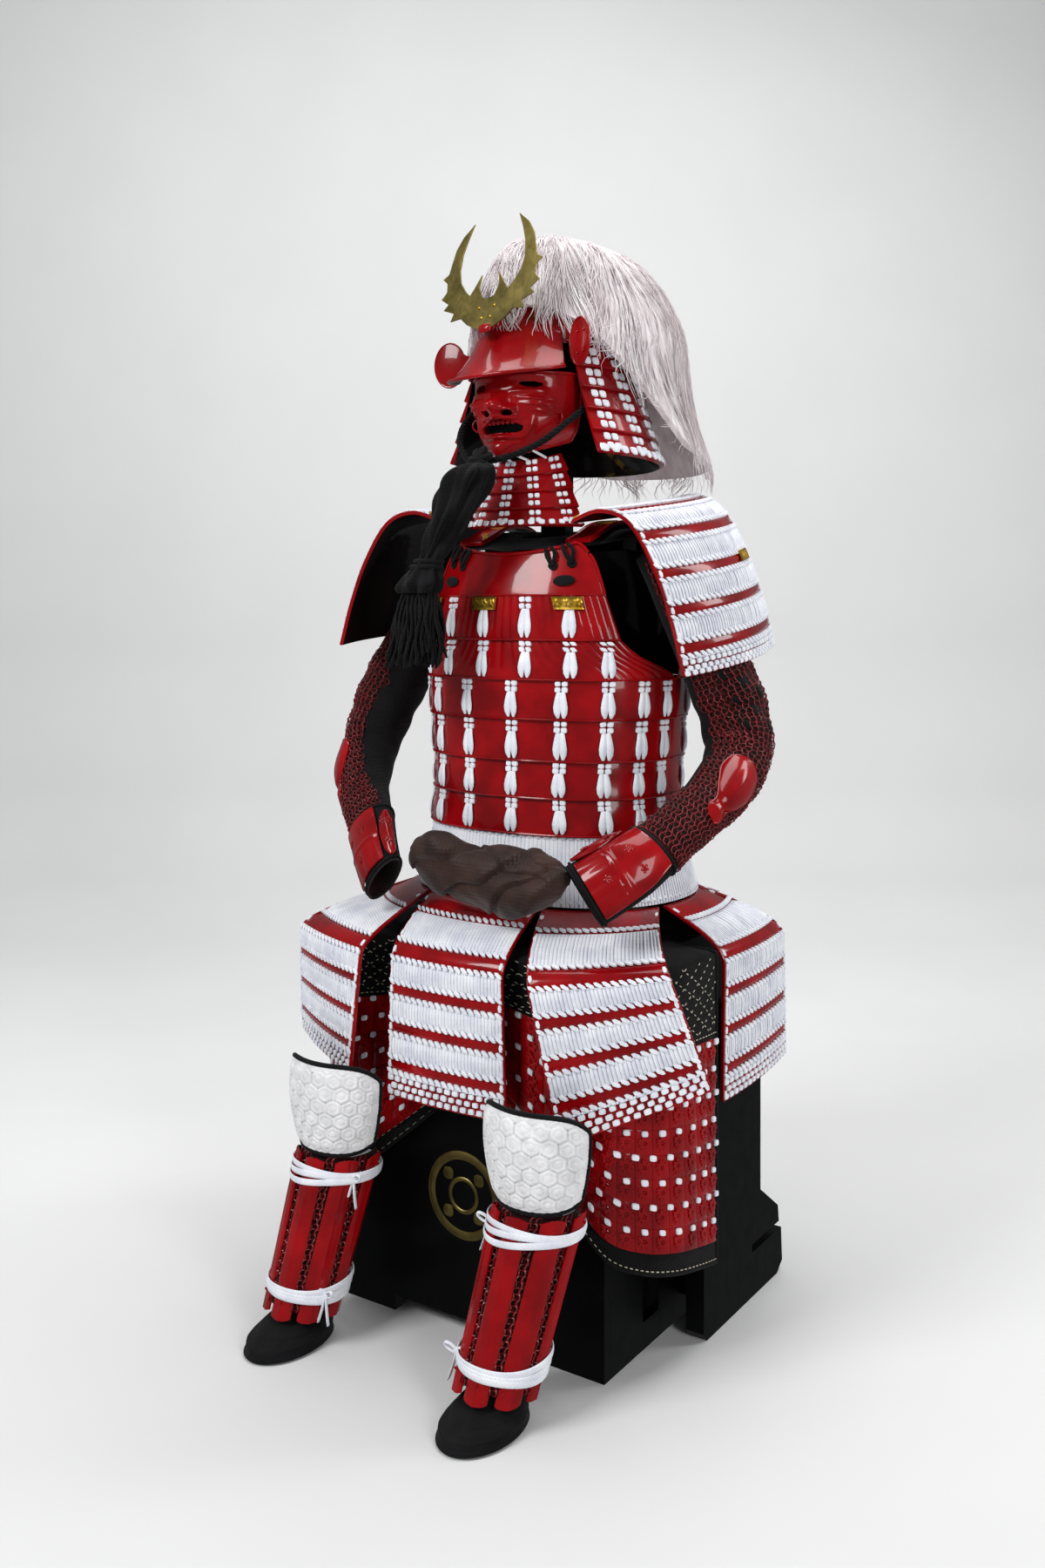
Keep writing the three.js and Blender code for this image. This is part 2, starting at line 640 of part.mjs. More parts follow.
function maneBase(u, v) {
  const angle = 360 * u;
  const fromFront = Math.min(angle, 360 - angle);
  const course = v * along(MANE_REACH, fromFront);
  const rise = radians(84 * (1 - Math.min(1, course)));
  const fall = Math.max(0, course - 1);
  const back = bump(fromFront, 180, 120);
  const hug = BOWL_HALF_WIDTH + 4 + MANE_WALL / 2;
  const clear = 20 * clamp01((fromFront - 45) / 30) * clamp01((course - 0.6) / 0.35);
  const flare = clear + 50 * fall ** 1.2;
  const full = Math.cos(rise) ** (1 - 0.35 * back);
  const width = (hug + flare + 22 * back) * full;
  const depth = (hug + flare + BOWL_HALF_DEPTH - BOWL_HALF_WIDTH + 88 * back + 24 * fall) * full;
  const height = (BOWL_HEIGHT + 4 + MANE_WALL / 2) * Math.sin(rise);
  const point = roundHead(angle, width, depth, BOWL_Z + height - MANE_FALL * fall);
  return point;
}

function addMane() {
  const relief = (u, v) => {
    const back = bump(Math.min(u, 1 - u), 0.5, 0.4);
    return 6 + (18 + 8 * back) * bump(v, 0.3, 0.6) + 2.5 * (Math.round(u * 20) % 2) * v;
  };
  const outward = (point) => vec(point.x, point.y - HEAD_Y, Math.max(-10, point.z - BOWL_Z));
  addMesh("hair_mane", wall({
    us: 20, vs: 8, around: true, base: maneBase, relief, thickness: MANE_WALL, outward,
  }), "hair");
}
addMane();

// Laced tier panel: tassets and shoulder guards share its relief. Each tier has a lacquered
// band, a braid and a fall of cords; the last row holds the cross-knots over the hem.
const TIER_CUTS = [0, 0.25, 0.31];

function tierRelief(tiers, rise) {
  return (u, v) => {
    const cut = (v * tiers) % 1;
    return v < 1 && cut > 0.27 ? rise : 0;
  };
}

// Tassets. The top of each follows the lacing skirt round an arc, from first to last degrees;
// lower down it lies over the box at x, y, facing face degrees, turned by twist towards its hem.
const TASSETS = [
  { name: "front", first: -34, last: 18, x: -12, y: -266, face: 0, twist: 0, half: 94, fall: 268, skew: 0, tilt: 0 },
  { name: "front_left", first: 20, last: 72, x: 216, y: -262, face: 26, twist: 4, half: 90, fall: 236, skew: 66, tilt: 38 },
  { name: "left", first: 75, last: 121, x: 304, y: 84, face: 90, twist: 0, half: 100, fall: 262, skew: 0, tilt: 6 },
  { name: "back_left", first: 124, last: 170, x: 116, y: 286, face: 176, twist: 0, half: 96, fall: 290, skew: 0, tilt: 0 },
  { name: "back_right", first: 174, last: 220, x: -116, y: 286, face: 184, twist: 0, half: 96, fall: 290, skew: 0, tilt: 0 },
  { name: "right", first: 223, last: 269, x: -304, y: 84, face: 270, twist: 0, half: 100, fall: 262, skew: 0, tilt: 0 },
  { name: "front_right", first: 272, last: 324, x: -226, y: -262, face: -18, twist: -10, half: 92, fall: 232, skew: -28, tilt: -6 },
];
const TASSET_TIERS = 5;
const TASSET_BOW = 7;

function tassetPoint(tasset, u, v) {
  const side = 2 * u - 1;
  const top = SKIRT_Z - 3;
  const turn = radians(tasset.face + tasset.twist * v);
  const out = vec(Math.sin(turn), -Math.cos(turn), 0);
  const across = vec(Math.cos(turn), Math.sin(turn), 0);
  const plate = vec(tasset.x, tasset.y, 0).addScaledVector(across, (tasset.half + 8 * v) * side);
  plate.addScaledVector(across, tasset.skew * v).addScaledVector(out, -TASSET_BOW * side * side);
  const ring = skirtPoint(tasset.first + (tasset.last - tasset.first) * u, SKIRT_Z);
  const swung = Math.sin(Math.min(1, v * 3.4) * (Math.PI / 2));
  const point = ring.lerp(plate, swung);
  return point.setZ(top - tasset.fall * v + tasset.tilt * side * v);
}

function addTassets() {
  for (const tasset of TASSETS) {
    const turn = radians(tasset.face);
    const out = vec(Math.sin(turn), -Math.cos(turn), 0.2);
    addMesh("tasset_" + tasset.name, wall({
      us: 5, vs: tierRows(TASSET_TIERS, TIER_CUTS), base: (u, v) => tassetPoint(tasset, u, v),
      relief: tierRelief(TASSET_TIERS, 3), thickness: LACED_WALL, outward: () => out,
    }), "lacing");
  }
}
addTassets();

// Shoulder guards: a near-level top board, then six tiers curving down over the upper arm.
// The arms rest a little turned, so the left guard lies further back than the right.
const SODE_TIERS = 6;
const SODE_DROP = [
  [0, 132, 1168], [0.12, 176, 1182], [0.28, 222, 1164], [0.5, 260, 1098], [0.75, 284, 1022], [1, 299, 950],
];
const SODE_PLACES = {
  left: { side: 1, topY: 28, lowY: 62, rise: 20, stretch: 1 },
  right: { side: -1, topY: -20, lowY: -36, rise: 12, stretch: 0.86 },
};

function sodePoint(place, u, v) {
  const x = easedAlong(SODE_DROP.map(([key, value]) => [key, value]), v);
  const z = easedAlong(SODE_DROP.map(([key, , height]) => [key, height]), v);
  const across = 2 * u - 1;
  const y = place.topY + (place.lowY - place.topY) * v + (142 + 8 * v) * across;
  const height = SODE_DROP[0][2] + (z - SODE_DROP[0][2]) * place.stretch;
  return vec(place.side * (x - 30 * across * across), y, height + place.rise * across);
}

function addSode(name) {
  const place = SODE_PLACES[name];
  addMesh("sode_" + name, wall({
    us: 7, vs: tierRows(SODE_TIERS, TIER_CUTS), base: (u, v) => sodePoint(place, u, v),
    relief: tierRelief(SODE_TIERS, 3), thickness: LACED_WALL, outward: () => vec(place.side, 0, 0.6),
  }), "lacing");
}
addSode("left");
addSode("right");

// Mail sleeves, open tubes from the shoulder to the fingers: [x, y, z, radius across, radius in
// depth, roll in degrees]. The last three rows are the flat hand.
const SLEEVES = {
  left: [
    [178, 10, 1112, 36, 42, 0], [204, 18, 1060, 40, 48, 0], [239, 36, 970, 41, 52, 0], [267, 62, 884, 48, 54, 0],
    [286, 48, 814, 48, 52, 0], [290, -20, 768, 42, 44, 0], [280, -104, 732, 38, 36, -10],
    [262, -164, 700, 36, 30, -25], [238, -204, 674, 44, 22, -35], [200, -240, 644, 46, 18, -35],
  ],
  right: [
    [-180, -6, 1112, 36, 42, 0], [-206, -14, 1060, 40, 48, 0], [-240, -30, 970, 42, 52, 0], [-290, -40, 884, 48, 54, 0],
    [-306, -62, 814, 46, 50, 0], [-288, -100, 770, 40, 44, 0], [-256, -142, 734, 37, 36, 10],
    [-214, -180, 706, 36, 30, 25], [-176, -212, 672, 44, 22, 35], [-138, -240, 630, 46, 18, 35],
  ],
};

function sleeveSpine(name) {
  return new THREE.CatmullRomCurve3(SLEEVES[name].map(([x, y, z]) => vec(x, y, z)));
}

function sleeveFrame(spine, v) {
  const heading = spine.getTangentAt(v);
  const across = vec(1, 0, 0).addScaledVector(heading, -heading.x).normalize();
  const deep = heading.clone().cross(across);
  return { centre: spine.getPointAt(v), across, deep };
}

function sleevePoint(name, spine, u, v, lift = 0) {
  const { centre, across, deep } = sleeveFrame(spine, v);
  const course = SLEEVES[name];
  const key = v * (course.length - 1);
  const wide = along(course.map((row, at) => [at, row[3]]), key) + lift;
  const thick = along(course.map((row, at) => [at, row[4]]), key) + lift;
  const turn = 2 * Math.PI * u;
  const roll = radians(along(course.map((row, at) => [at, row[5]]), key));
  const rolled = across.clone().multiplyScalar(Math.cos(roll)).addScaledVector(deep, Math.sin(roll));
  const out = deep.clone().multiplyScalar(Math.cos(roll)).addScaledVector(across, -Math.sin(roll));
  return centre.addScaledVector(rolled, wide * Math.cos(turn)).addScaledVector(out, thick * Math.sin(turn));
}

function addSleeve(name) {
  const spine = sleeveSpine(name);
  const base = (u, v) => sleevePoint(name, spine, u, v);
  const relief = (u, v) => (v > 0.35 && v < 0.5 ? 2.5 * (Math.round(v * 16) % 2) : 0);
  addMesh("sleeve_" + name, wall({
    us: 10, vs: 14, around: true, base, relief, thickness: CLOTH_WALL,
    outward: (point, u, v) => point.clone().sub(spine.getPointAt(clamp01(v))),
  }), "mail");
}
addSleeve("left");
addSleeve("right");

// Lacquered plates tied on each sleeve, outlined by [share of its length, half width in turns].
// The middle is where on the sleeve's section the plate lies, in turns.
const PLATES = [
  { name: "forearm_plate", lift: 4.2, dome: 7, middle: { left: 0.09, right: 0.41 },
    outline: [[0.545, 0.03], [0.56, 0.09], [0.6, 0.12], [0.645, 0.09], [0.68, 0.05], [0.705, 0.06], [0.72, 0.03]] },
  { name: "hand_plate", lift: 4.4, dome: 5, middle: { left: 0.24, right: 0.26 },
    outline: [[0.84, 0.14], [0.88, 0.15], [0.94, 0.15], [0.985, 0.15]] },
  { name: "thumb_plate", lift: 4.2, dome: 5, middle: { left: 0.465, right: 0.035 },
    outline: [[0.86, 0.015], [0.885, 0.045], [0.93, 0.055], [0.97, 0.04], [0.985, 0.015]] },
];

function addPlates(side) {
  const spine = sleeveSpine(side);
  for (const plate of PLATES) {
    const from = plate.outline[0][0];
    const to = plate.outline[plate.outline.length - 1][0];
    const base = (u, v) => {
      const place = from + (to - from) * v;
      const half = along(plate.outline, place);
      return sleevePoint(side, spine, plate.middle[side] + half * (2 * u - 1), place, plate.lift);
    };
    const relief = (u, v) => plate.dome * Math.sin(Math.PI * u) * Math.sin(Math.PI * clamp01(v * 0.9 + 0.05));
    const vs = plate.outline.map(([place]) => (place - from) / (to - from));
    addMesh(plate.name + "_" + side, wall({
      us: 4, vs, base, relief, thickness: LAME_WALL,
      outward: (point, u, v) => point.clone().sub(spine.getPointAt(clamp01(from + (to - from) * v))),
    }), "lacquer");
  }
}
addPlates("left");
addPlates("right");

// Sash: a twisted roll of cloth that lies on the lap between the hands
const SASH_COURSE = [
  [-104, -214, 668, 16], [-84, -218, 666, 34], [-40, -222, 662, 46], [10, -224, 652, 40],
  [60, -226, 648, 48], [114, -228, 650, 44], [152, -230, 658, 28], [170, -232, 662, 12],
];
const SASH_DEPTH = 0.72;

function addSash() {
  const rings = [];
  const steps = 16;
  const sides = 14;
  for (let step = 0; step <= steps; step += 1) {
    const key = (step / steps) * (SASH_COURSE.length - 1);
    const column = (index) => easedAlong(SASH_COURSE.map((row, at) => [at, row[index]]), key);
    const ring = [];
    for (let side = 0; side < sides; side += 1) {
      const turn = (2 * Math.PI * side) / sides;
      const twist = 1 + 0.1 * Math.cos(2 * turn + key * 1.9) + 0.05 * Math.cos(5 * turn - key * 1.4);
      const radius = column(3) * twist;
      ring.push(vec(column(0), column(1) + SASH_DEPTH * radius * Math.cos(turn), column(2) + radius * Math.sin(turn)));
    }
    rings.push(ring);
  }
  addMesh("waist_sash", loft(rings), "sashCloth");
}
addSash();

// Thigh guards: cloth with rows of small plates, over the lid, down the front and round the corner.
// The path holds [x, y] from the middle outwards and the height of the lower edge there.
const THIGH_PATH = [
  [30, -226, 330], [110, -226, 262], [182, -226, 204], [232, -228, 166], [268, -200, 148], [290, -150, 134],
  [294, -84, 118], [294, -38, 108],
];
const THIGH_ROWS = 5;
const THIGH_TOP = BOX_TOP + 4;

function addThighGuard(side, name) {
  const keys = THIGH_PATH.map((row, at) => at / (THIGH_PATH.length - 1));
  const path = (index, u) => easedAlong(THIGH_PATH.map((row, at) => [keys[at], row[index]]), u);
  const base = (u, v) => {
    const [x, y, low] = [path(0, u), path(1, u), path(2, u)];
    const over = clamp01(1 - v / 0.12);
    const reach = 1 - 0.32 * over;
    const z = v < 0.12 ? THIGH_TOP : THIGH_TOP - ((THIGH_TOP - low) * (v - 0.12)) / 0.88;
    return vec(side * x * reach, y * reach, z);
  };
  const vs = [0, 0.12];
  for (let row = 1; row <= THIGH_ROWS; row += 1) vs.push(0.12 + (0.88 * row) / THIGH_ROWS);
  const relief = (u, v) => (v > 0.4 && v < 0.95 && u > 0.04 && u < 0.94 ? 1.5 : 0);
  addMesh("thigh_guard_" + name, wall({
    us: 10, vs, base, relief, thickness: CLOTH_WALL, outward: (point) => vec(point.x, point.y, 60),
  }), "lacquer");
}
addThighGuard(1, "left");
addThighGuard(-1, "right");

// Lower legs: knee guard, splinted shin guard and cloth boot, each leg on its own feet
const LEGS = {
  left: { kneeX: 166, ankleX: 146, ankleY: -364 },
  right: { kneeX: -178, ankleX: -200, ankleY: -346 },
};
const KNEE_Y = -286;
const KNEE_LOW = 258;
const KNEE_HIGH = 384;
const KNEE_COLUMNS = 12;
const KNEE_ROWS = 10;
const SHIN_LOW = 36;
const SPLINTS = 5;

function legAxis(leg, z) {
  const share = clamp01((z - SHIN_LOW) / (KNEE_LOW - SHIN_LOW));
  return vec(leg.ankleX + (leg.kneeX - leg.ankleX) * share, leg.ankleY + (KNEE_Y - leg.ankleY) * share, z);
}

function legPoint(leg, angle, z, halfWidth, halfDepth) {
  const turn = radians(angle);
  const axis = legAxis(leg, z);
  return vec(axis.x + halfWidth * Math.sin(turn), axis.y - halfDepth * Math.cos(turn), z);
}

function addKneeGuard(name) {
  const leg = LEGS[name];
  const base = (u, v) => {
    const side = 2 * u - 1;
    const top = KNEE_HIGH - 26 * side ** 4;
    const z = top + (KNEE_LOW + 14 * side ** 4 - top) * v;
    const share = (z - KNEE_LOW) / (KNEE_HIGH - KNEE_LOW);
    return legPoint(leg, 84 * side, z, 60 + 16 * Math.sin(share * 2.2), 52 + 12 * Math.sin(share * 2.6));
  };
  const relief = (u, v) => {
    const row = Math.round(v * KNEE_ROWS);
    const column = Math.round(u * KNEE_COLUMNS);
    return row % 2 === 1 && (column + (row - 1) / 2) % 2 === 1 ? 5 : 0;
  };
  addMesh("knee_guard_" + name, wall({
    us: KNEE_COLUMNS, vs: KNEE_ROWS, base, relief, thickness: 5, outward: (point) => point.clone().sub(legAxis(leg, point.z)),
  }), "quilt");
}

function addShinGuard(name) {
  const leg = LEGS[name];
  const columns = SPLINTS * 4;
  const base = (u, v) => {
    const splint = (u * SPLINTS) % 1;
    const low = SHIN_LOW + 12 * Math.abs(2 * splint - 1) ** 2;
    const top = KNEE_LOW - 3.5;
    const z = top + (low - top) * v;
    const share = (z - SHIN_LOW) / (KNEE_LOW - SHIN_LOW);
    return legPoint(leg, 120 * (2 * u - 1), z, 50 + 8 * share, 45 + 7 * share);
  };
  const relief = (u) => [0, 4.5, 6, 4.5][Math.round(u * columns) % 4];
  addMesh("shin_guard_" + name, wall({
    us: columns, vs: 2, base, relief, thickness: CLOTH_WALL,
    outward: (point) => point.clone().sub(legAxis(leg, point.z)).setZ(0),
  }), "lacquer");
}

// [height, half width, half length, how far the middle lies behind the ankle's axis]
const BOOT_RINGS = [
  [0, 44, 68, -26], [6, 51, 76, -26], [16, 51, 75, -24], [27, 44, 60, -14], [33, 38, 42, -2], [60, 33, 32, 2],
  [112, 33, 30, 14],
];

function addBoot(name) {
  const leg = LEGS[name];
  const rings = BOOT_RINGS.map(([z, halfWidth, halfLength, forward]) => {
    const ring = [];
    for (let corner = 0; corner < 16; corner += 1) {
      const turn = (2 * Math.PI * corner) / 16;
      ring.push(vec(leg.ankleX + halfWidth * Math.sin(turn), leg.ankleY + forward - halfLength * Math.cos(turn), z));
    }
    return ring;
  });
  addMesh("boot_" + name, loft(rings), "blackCloth");
}
for (const name of ["left", "right"]) {
  addKneeGuard(name);
  addShinGuard(name);
  addBoot(name);
}

// Helmet cord: from each side of the helmet round the cheeks to the knot under the chin
const CORD_RADIUS = 5.5;
const CHIN_CORD = [
  [100, -40, 1352], [99, -70, 1318], [90, -112, 1288], [68, -138, 1262], [34, -158, 1244], [-8, -168, 1236],
  [-44, -160, 1240], [-74, -142, 1266], [-92, -112, 1294], [-100, -76, 1322], [-102, -44, 1352],
];

function addChinCord() {
  const path = new THREE.CatmullRomCurve3(CHIN_CORD.map(([x, y, z]) => vec(x, y, z)));
  const section = new THREE.Shape();
  const sides = 8;
  for (let side = 0; side < sides; side += 1) {
    const turn = (2 * Math.PI * side) / sides;
    const corner = [CORD_RADIUS * Math.cos(turn), CORD_RADIUS * Math.sin(turn)];
    if (side === 0) section.moveTo(...corner);
    else section.lineTo(...corner);
  }
  section.closePath();
  const tube = new THREE.ExtrudeGeometry(section, { steps: 22, extrudePath: path, bevelEnabled: false });
  addMesh("chin_cord", closed(tube), "blackCloth");
}

// Cloth tassel that hangs from the knot: [x, y, z, radius], then loose strands
const TASSEL_COURSE = [
  [-8, -188, 1232, 14], [-14, -194, 1220, 34], [-30, -200, 1188, 34], [-52, -206, 1140, 26], [-74, -210, 1100, 18],
  [-82, -212, 1084, 22], [-90, -214, 1060, 34], [-94, -214, 1046, 30],
];
const TASSEL_STRANDS = 26;
const TASSEL_END_Z = 932;

function addTassel() {
  const sides = 10;
  const rings = TASSEL_COURSE.map(([x, y, z, radius]) => {
    const ring = [];
    for (let side = 0; side < sides; side += 1) {
      const turn = (2 * Math.PI * side) / sides;
      ring.push(vec(x + radius * Math.cos(turn), y + 0.8 * radius * Math.sin(turn), z));
    }
    return ring;
  });
  const solids = [loft(rings)];
  for (let strand = 0; strand < TASSEL_STRANDS; strand += 1) {
    const turn = strand * 2.4;
    const ratio = Math.sqrt((strand + 0.5) / TASSEL_STRANDS);
    const end = TASSEL_END_Z + 12 * Math.sin(strand * 1.7);
    const middles = [[1054, 0.42], [1010, 0.8], [end, 1.04]].map(([z, spread]) => [
      -92 + 54 * spread * ratio * Math.cos(turn) - 0.08 * (1054 - z), -214 + 30 * spread * ratio * Math.sin(turn), z,
    ]);
    solids.push(loft(middles.map(([x, y, z]) => [0, 1, 2].map((corner) => {
      const angle = turn + (2 * Math.PI * corner) / 3;
      return vec(x + 3.4 * Math.cos(angle), y + 3.4 * Math.sin(angle), z);
    }))));
  }
  addMesh("chin_tassel", joined(solids), "blackCloth");
}
addChinCord();
addTassel();

// The origin lies under the middle of the whole, on the floor
const bounds = new THREE.Box3().setFromObject(group, true);
const middle = bounds.getCenter(vec(0, 0, 0));
group.position.set(-middle.x, -middle.y, -bounds.min.z);
group.updateMatrixWorld(true);

export default group;
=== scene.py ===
"""Red-laced samurai armour on its black storage box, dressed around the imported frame.

Lengths in the shape functions are millimetres, as an armourer would measure them, with the
front facing -Y and the wearer's left at +X. They turn to metres when a mesh is made.
"""
import math

import bmesh
import bpy
import numpy as np
from bpy.props import FloatProperty, IntProperty, PointerProperty, StringProperty
from mathutils import Matrix, Vector


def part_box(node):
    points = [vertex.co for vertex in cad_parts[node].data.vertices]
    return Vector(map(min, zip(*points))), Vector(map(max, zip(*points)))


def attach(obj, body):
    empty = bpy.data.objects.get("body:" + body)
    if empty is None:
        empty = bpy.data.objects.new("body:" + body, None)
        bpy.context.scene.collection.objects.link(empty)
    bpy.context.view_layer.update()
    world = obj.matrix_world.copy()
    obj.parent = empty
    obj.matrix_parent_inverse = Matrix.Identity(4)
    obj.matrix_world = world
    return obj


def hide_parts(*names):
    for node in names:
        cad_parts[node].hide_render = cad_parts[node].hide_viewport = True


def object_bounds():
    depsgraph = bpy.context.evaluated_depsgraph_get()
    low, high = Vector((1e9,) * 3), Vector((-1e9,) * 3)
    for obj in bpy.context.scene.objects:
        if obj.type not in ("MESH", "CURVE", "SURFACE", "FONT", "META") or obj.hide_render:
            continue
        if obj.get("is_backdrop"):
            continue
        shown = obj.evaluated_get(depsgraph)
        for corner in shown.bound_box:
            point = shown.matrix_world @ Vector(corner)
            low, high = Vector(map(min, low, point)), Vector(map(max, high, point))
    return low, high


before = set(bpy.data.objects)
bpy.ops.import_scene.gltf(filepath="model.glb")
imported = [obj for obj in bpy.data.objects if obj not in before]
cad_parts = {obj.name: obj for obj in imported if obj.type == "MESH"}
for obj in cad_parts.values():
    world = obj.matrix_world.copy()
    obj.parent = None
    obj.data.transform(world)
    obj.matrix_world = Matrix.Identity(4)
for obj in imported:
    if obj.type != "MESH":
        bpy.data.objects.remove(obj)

bl_info = {
    "name": "Samurai armour on its box",
    "version": (1, 0, 0),
    "blender": (4, 5, 0),
    "location": "3D View > Sidebar > Armour",
    "description": "Builds the lacquer, lacing, mail, hair and cloth of a seated suit of armour",
    "category": "Add Mesh",
}

CAD_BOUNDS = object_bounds()

# The box's front board fixes where the middle of the suit lies on the floor
BOX_HALF = 222.0
FRONT_LOW, FRONT_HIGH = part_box("box_front")
SHIFT = np.array([(FRONT_LOW.x + FRONT_HIGH.x) / 2, FRONT_LOW.y + BOX_HALF / 1000, FRONT_LOW.z])

BOX_TOP = 540.0
HEM_Z = 699.0
CHEST_Z = 921.0
CHEST_MIDDLE_Z = 978.0
BREAST_Z = 1042.0
BACK_TOP_Z = 1126.0
THROAT_TOP_Z = 1241.0
THROAT_HEM_Z = 1143.0
TORSO_Y = 10.0
SKIRT_Z = 602.0
BOWL_Z = 1412.0
BOWL_HALF_WIDTH = 106.0
BOWL_HALF_DEPTH = 120.0
BOWL_HEIGHT = 150.0
CREST_BOTTOM_Z = 1432.0
HEAD_TURN = math.radians(-10)
SIDES = ((1, "left"), (-1, "right"))
MASK_Y = -50.0
DICE = np.random.default_rng(7)


def vec(x, y, z):
    """Points from coordinates that may be arrays."""
    return np.stack(np.broadcast_arrays(np.asarray(x, float), y, z), axis=-1)


def along(table, key, column=1):
    rows = np.asarray(table, float)
    return np.interp(key, rows[:, 0], rows[:, column])


def rounded(table, key, column=1):
    """The same on a smooth curve through the rows."""
    rows = np.asarray(table, float)
    place = np.interp(key, rows[:, 0], np.arange(len(rows)))
    low = np.clip(np.floor(place).astype(int), 0, len(rows) - 2)
    t = place - low
    value = rows[:, column]
    a = value[np.maximum(low - 1, 0)]
    b = value[low]
    c = value[low + 1]
    d = value[np.minimum(low + 2, len(rows) - 1)]
    return b + 0.5 * t * (c - a + t * (2 * a - 5 * b + 4 * c - d + t * (3 * (b - c) + d - a)))


def bump(value, centre, half):
    away = np.abs(value - centre) / half
    return np.where(away < 1, np.cos(np.minimum(away, 1) * math.pi / 2) ** 2, 0.0)


def unit(vectors):
    return vectors / np.maximum(np.linalg.norm(vectors, axis=-1, keepdims=True), 1e-9)


def grid_of(count_u, count_v):
    """Even u and v over a sheet, as two arrays of [row, column]."""
    return np.meshgrid(np.linspace(0, 1, count_u + 1), np.linspace(0, 1, count_v + 1))


class Sheet:
    """A face of the suit: base(u, v) in millimetres and the way that its outside looks."""

    def __init__(self, base, outward):
        self.base = base
        self.outward = outward

    def frame(self, u, v):
        u, v = np.broadcast_arrays(np.asarray(u, float), np.asarray(v, float))
        step = 0.004
        point = self.base(u, v)
        across = unit(self.base(np.minimum(u + step, 1), v) - self.base(np.maximum(u - step, 0), v))
        down = self.base(u, np.minimum(v + step, 1)) - self.base(u, np.maximum(v - step, 0))
        normal = unit(np.cross(across, down))
        facing = np.sign((normal * self.outward(point)).sum(-1, keepdims=True))
        return point, across, unit(down), normal * np.where(facing == 0, 1, facing)

    def at(self, u, v, lift=0.0):
        point, _, _, normal = self.frame(u, v)
        return point + normal * np.asarray(lift, float)[..., None]


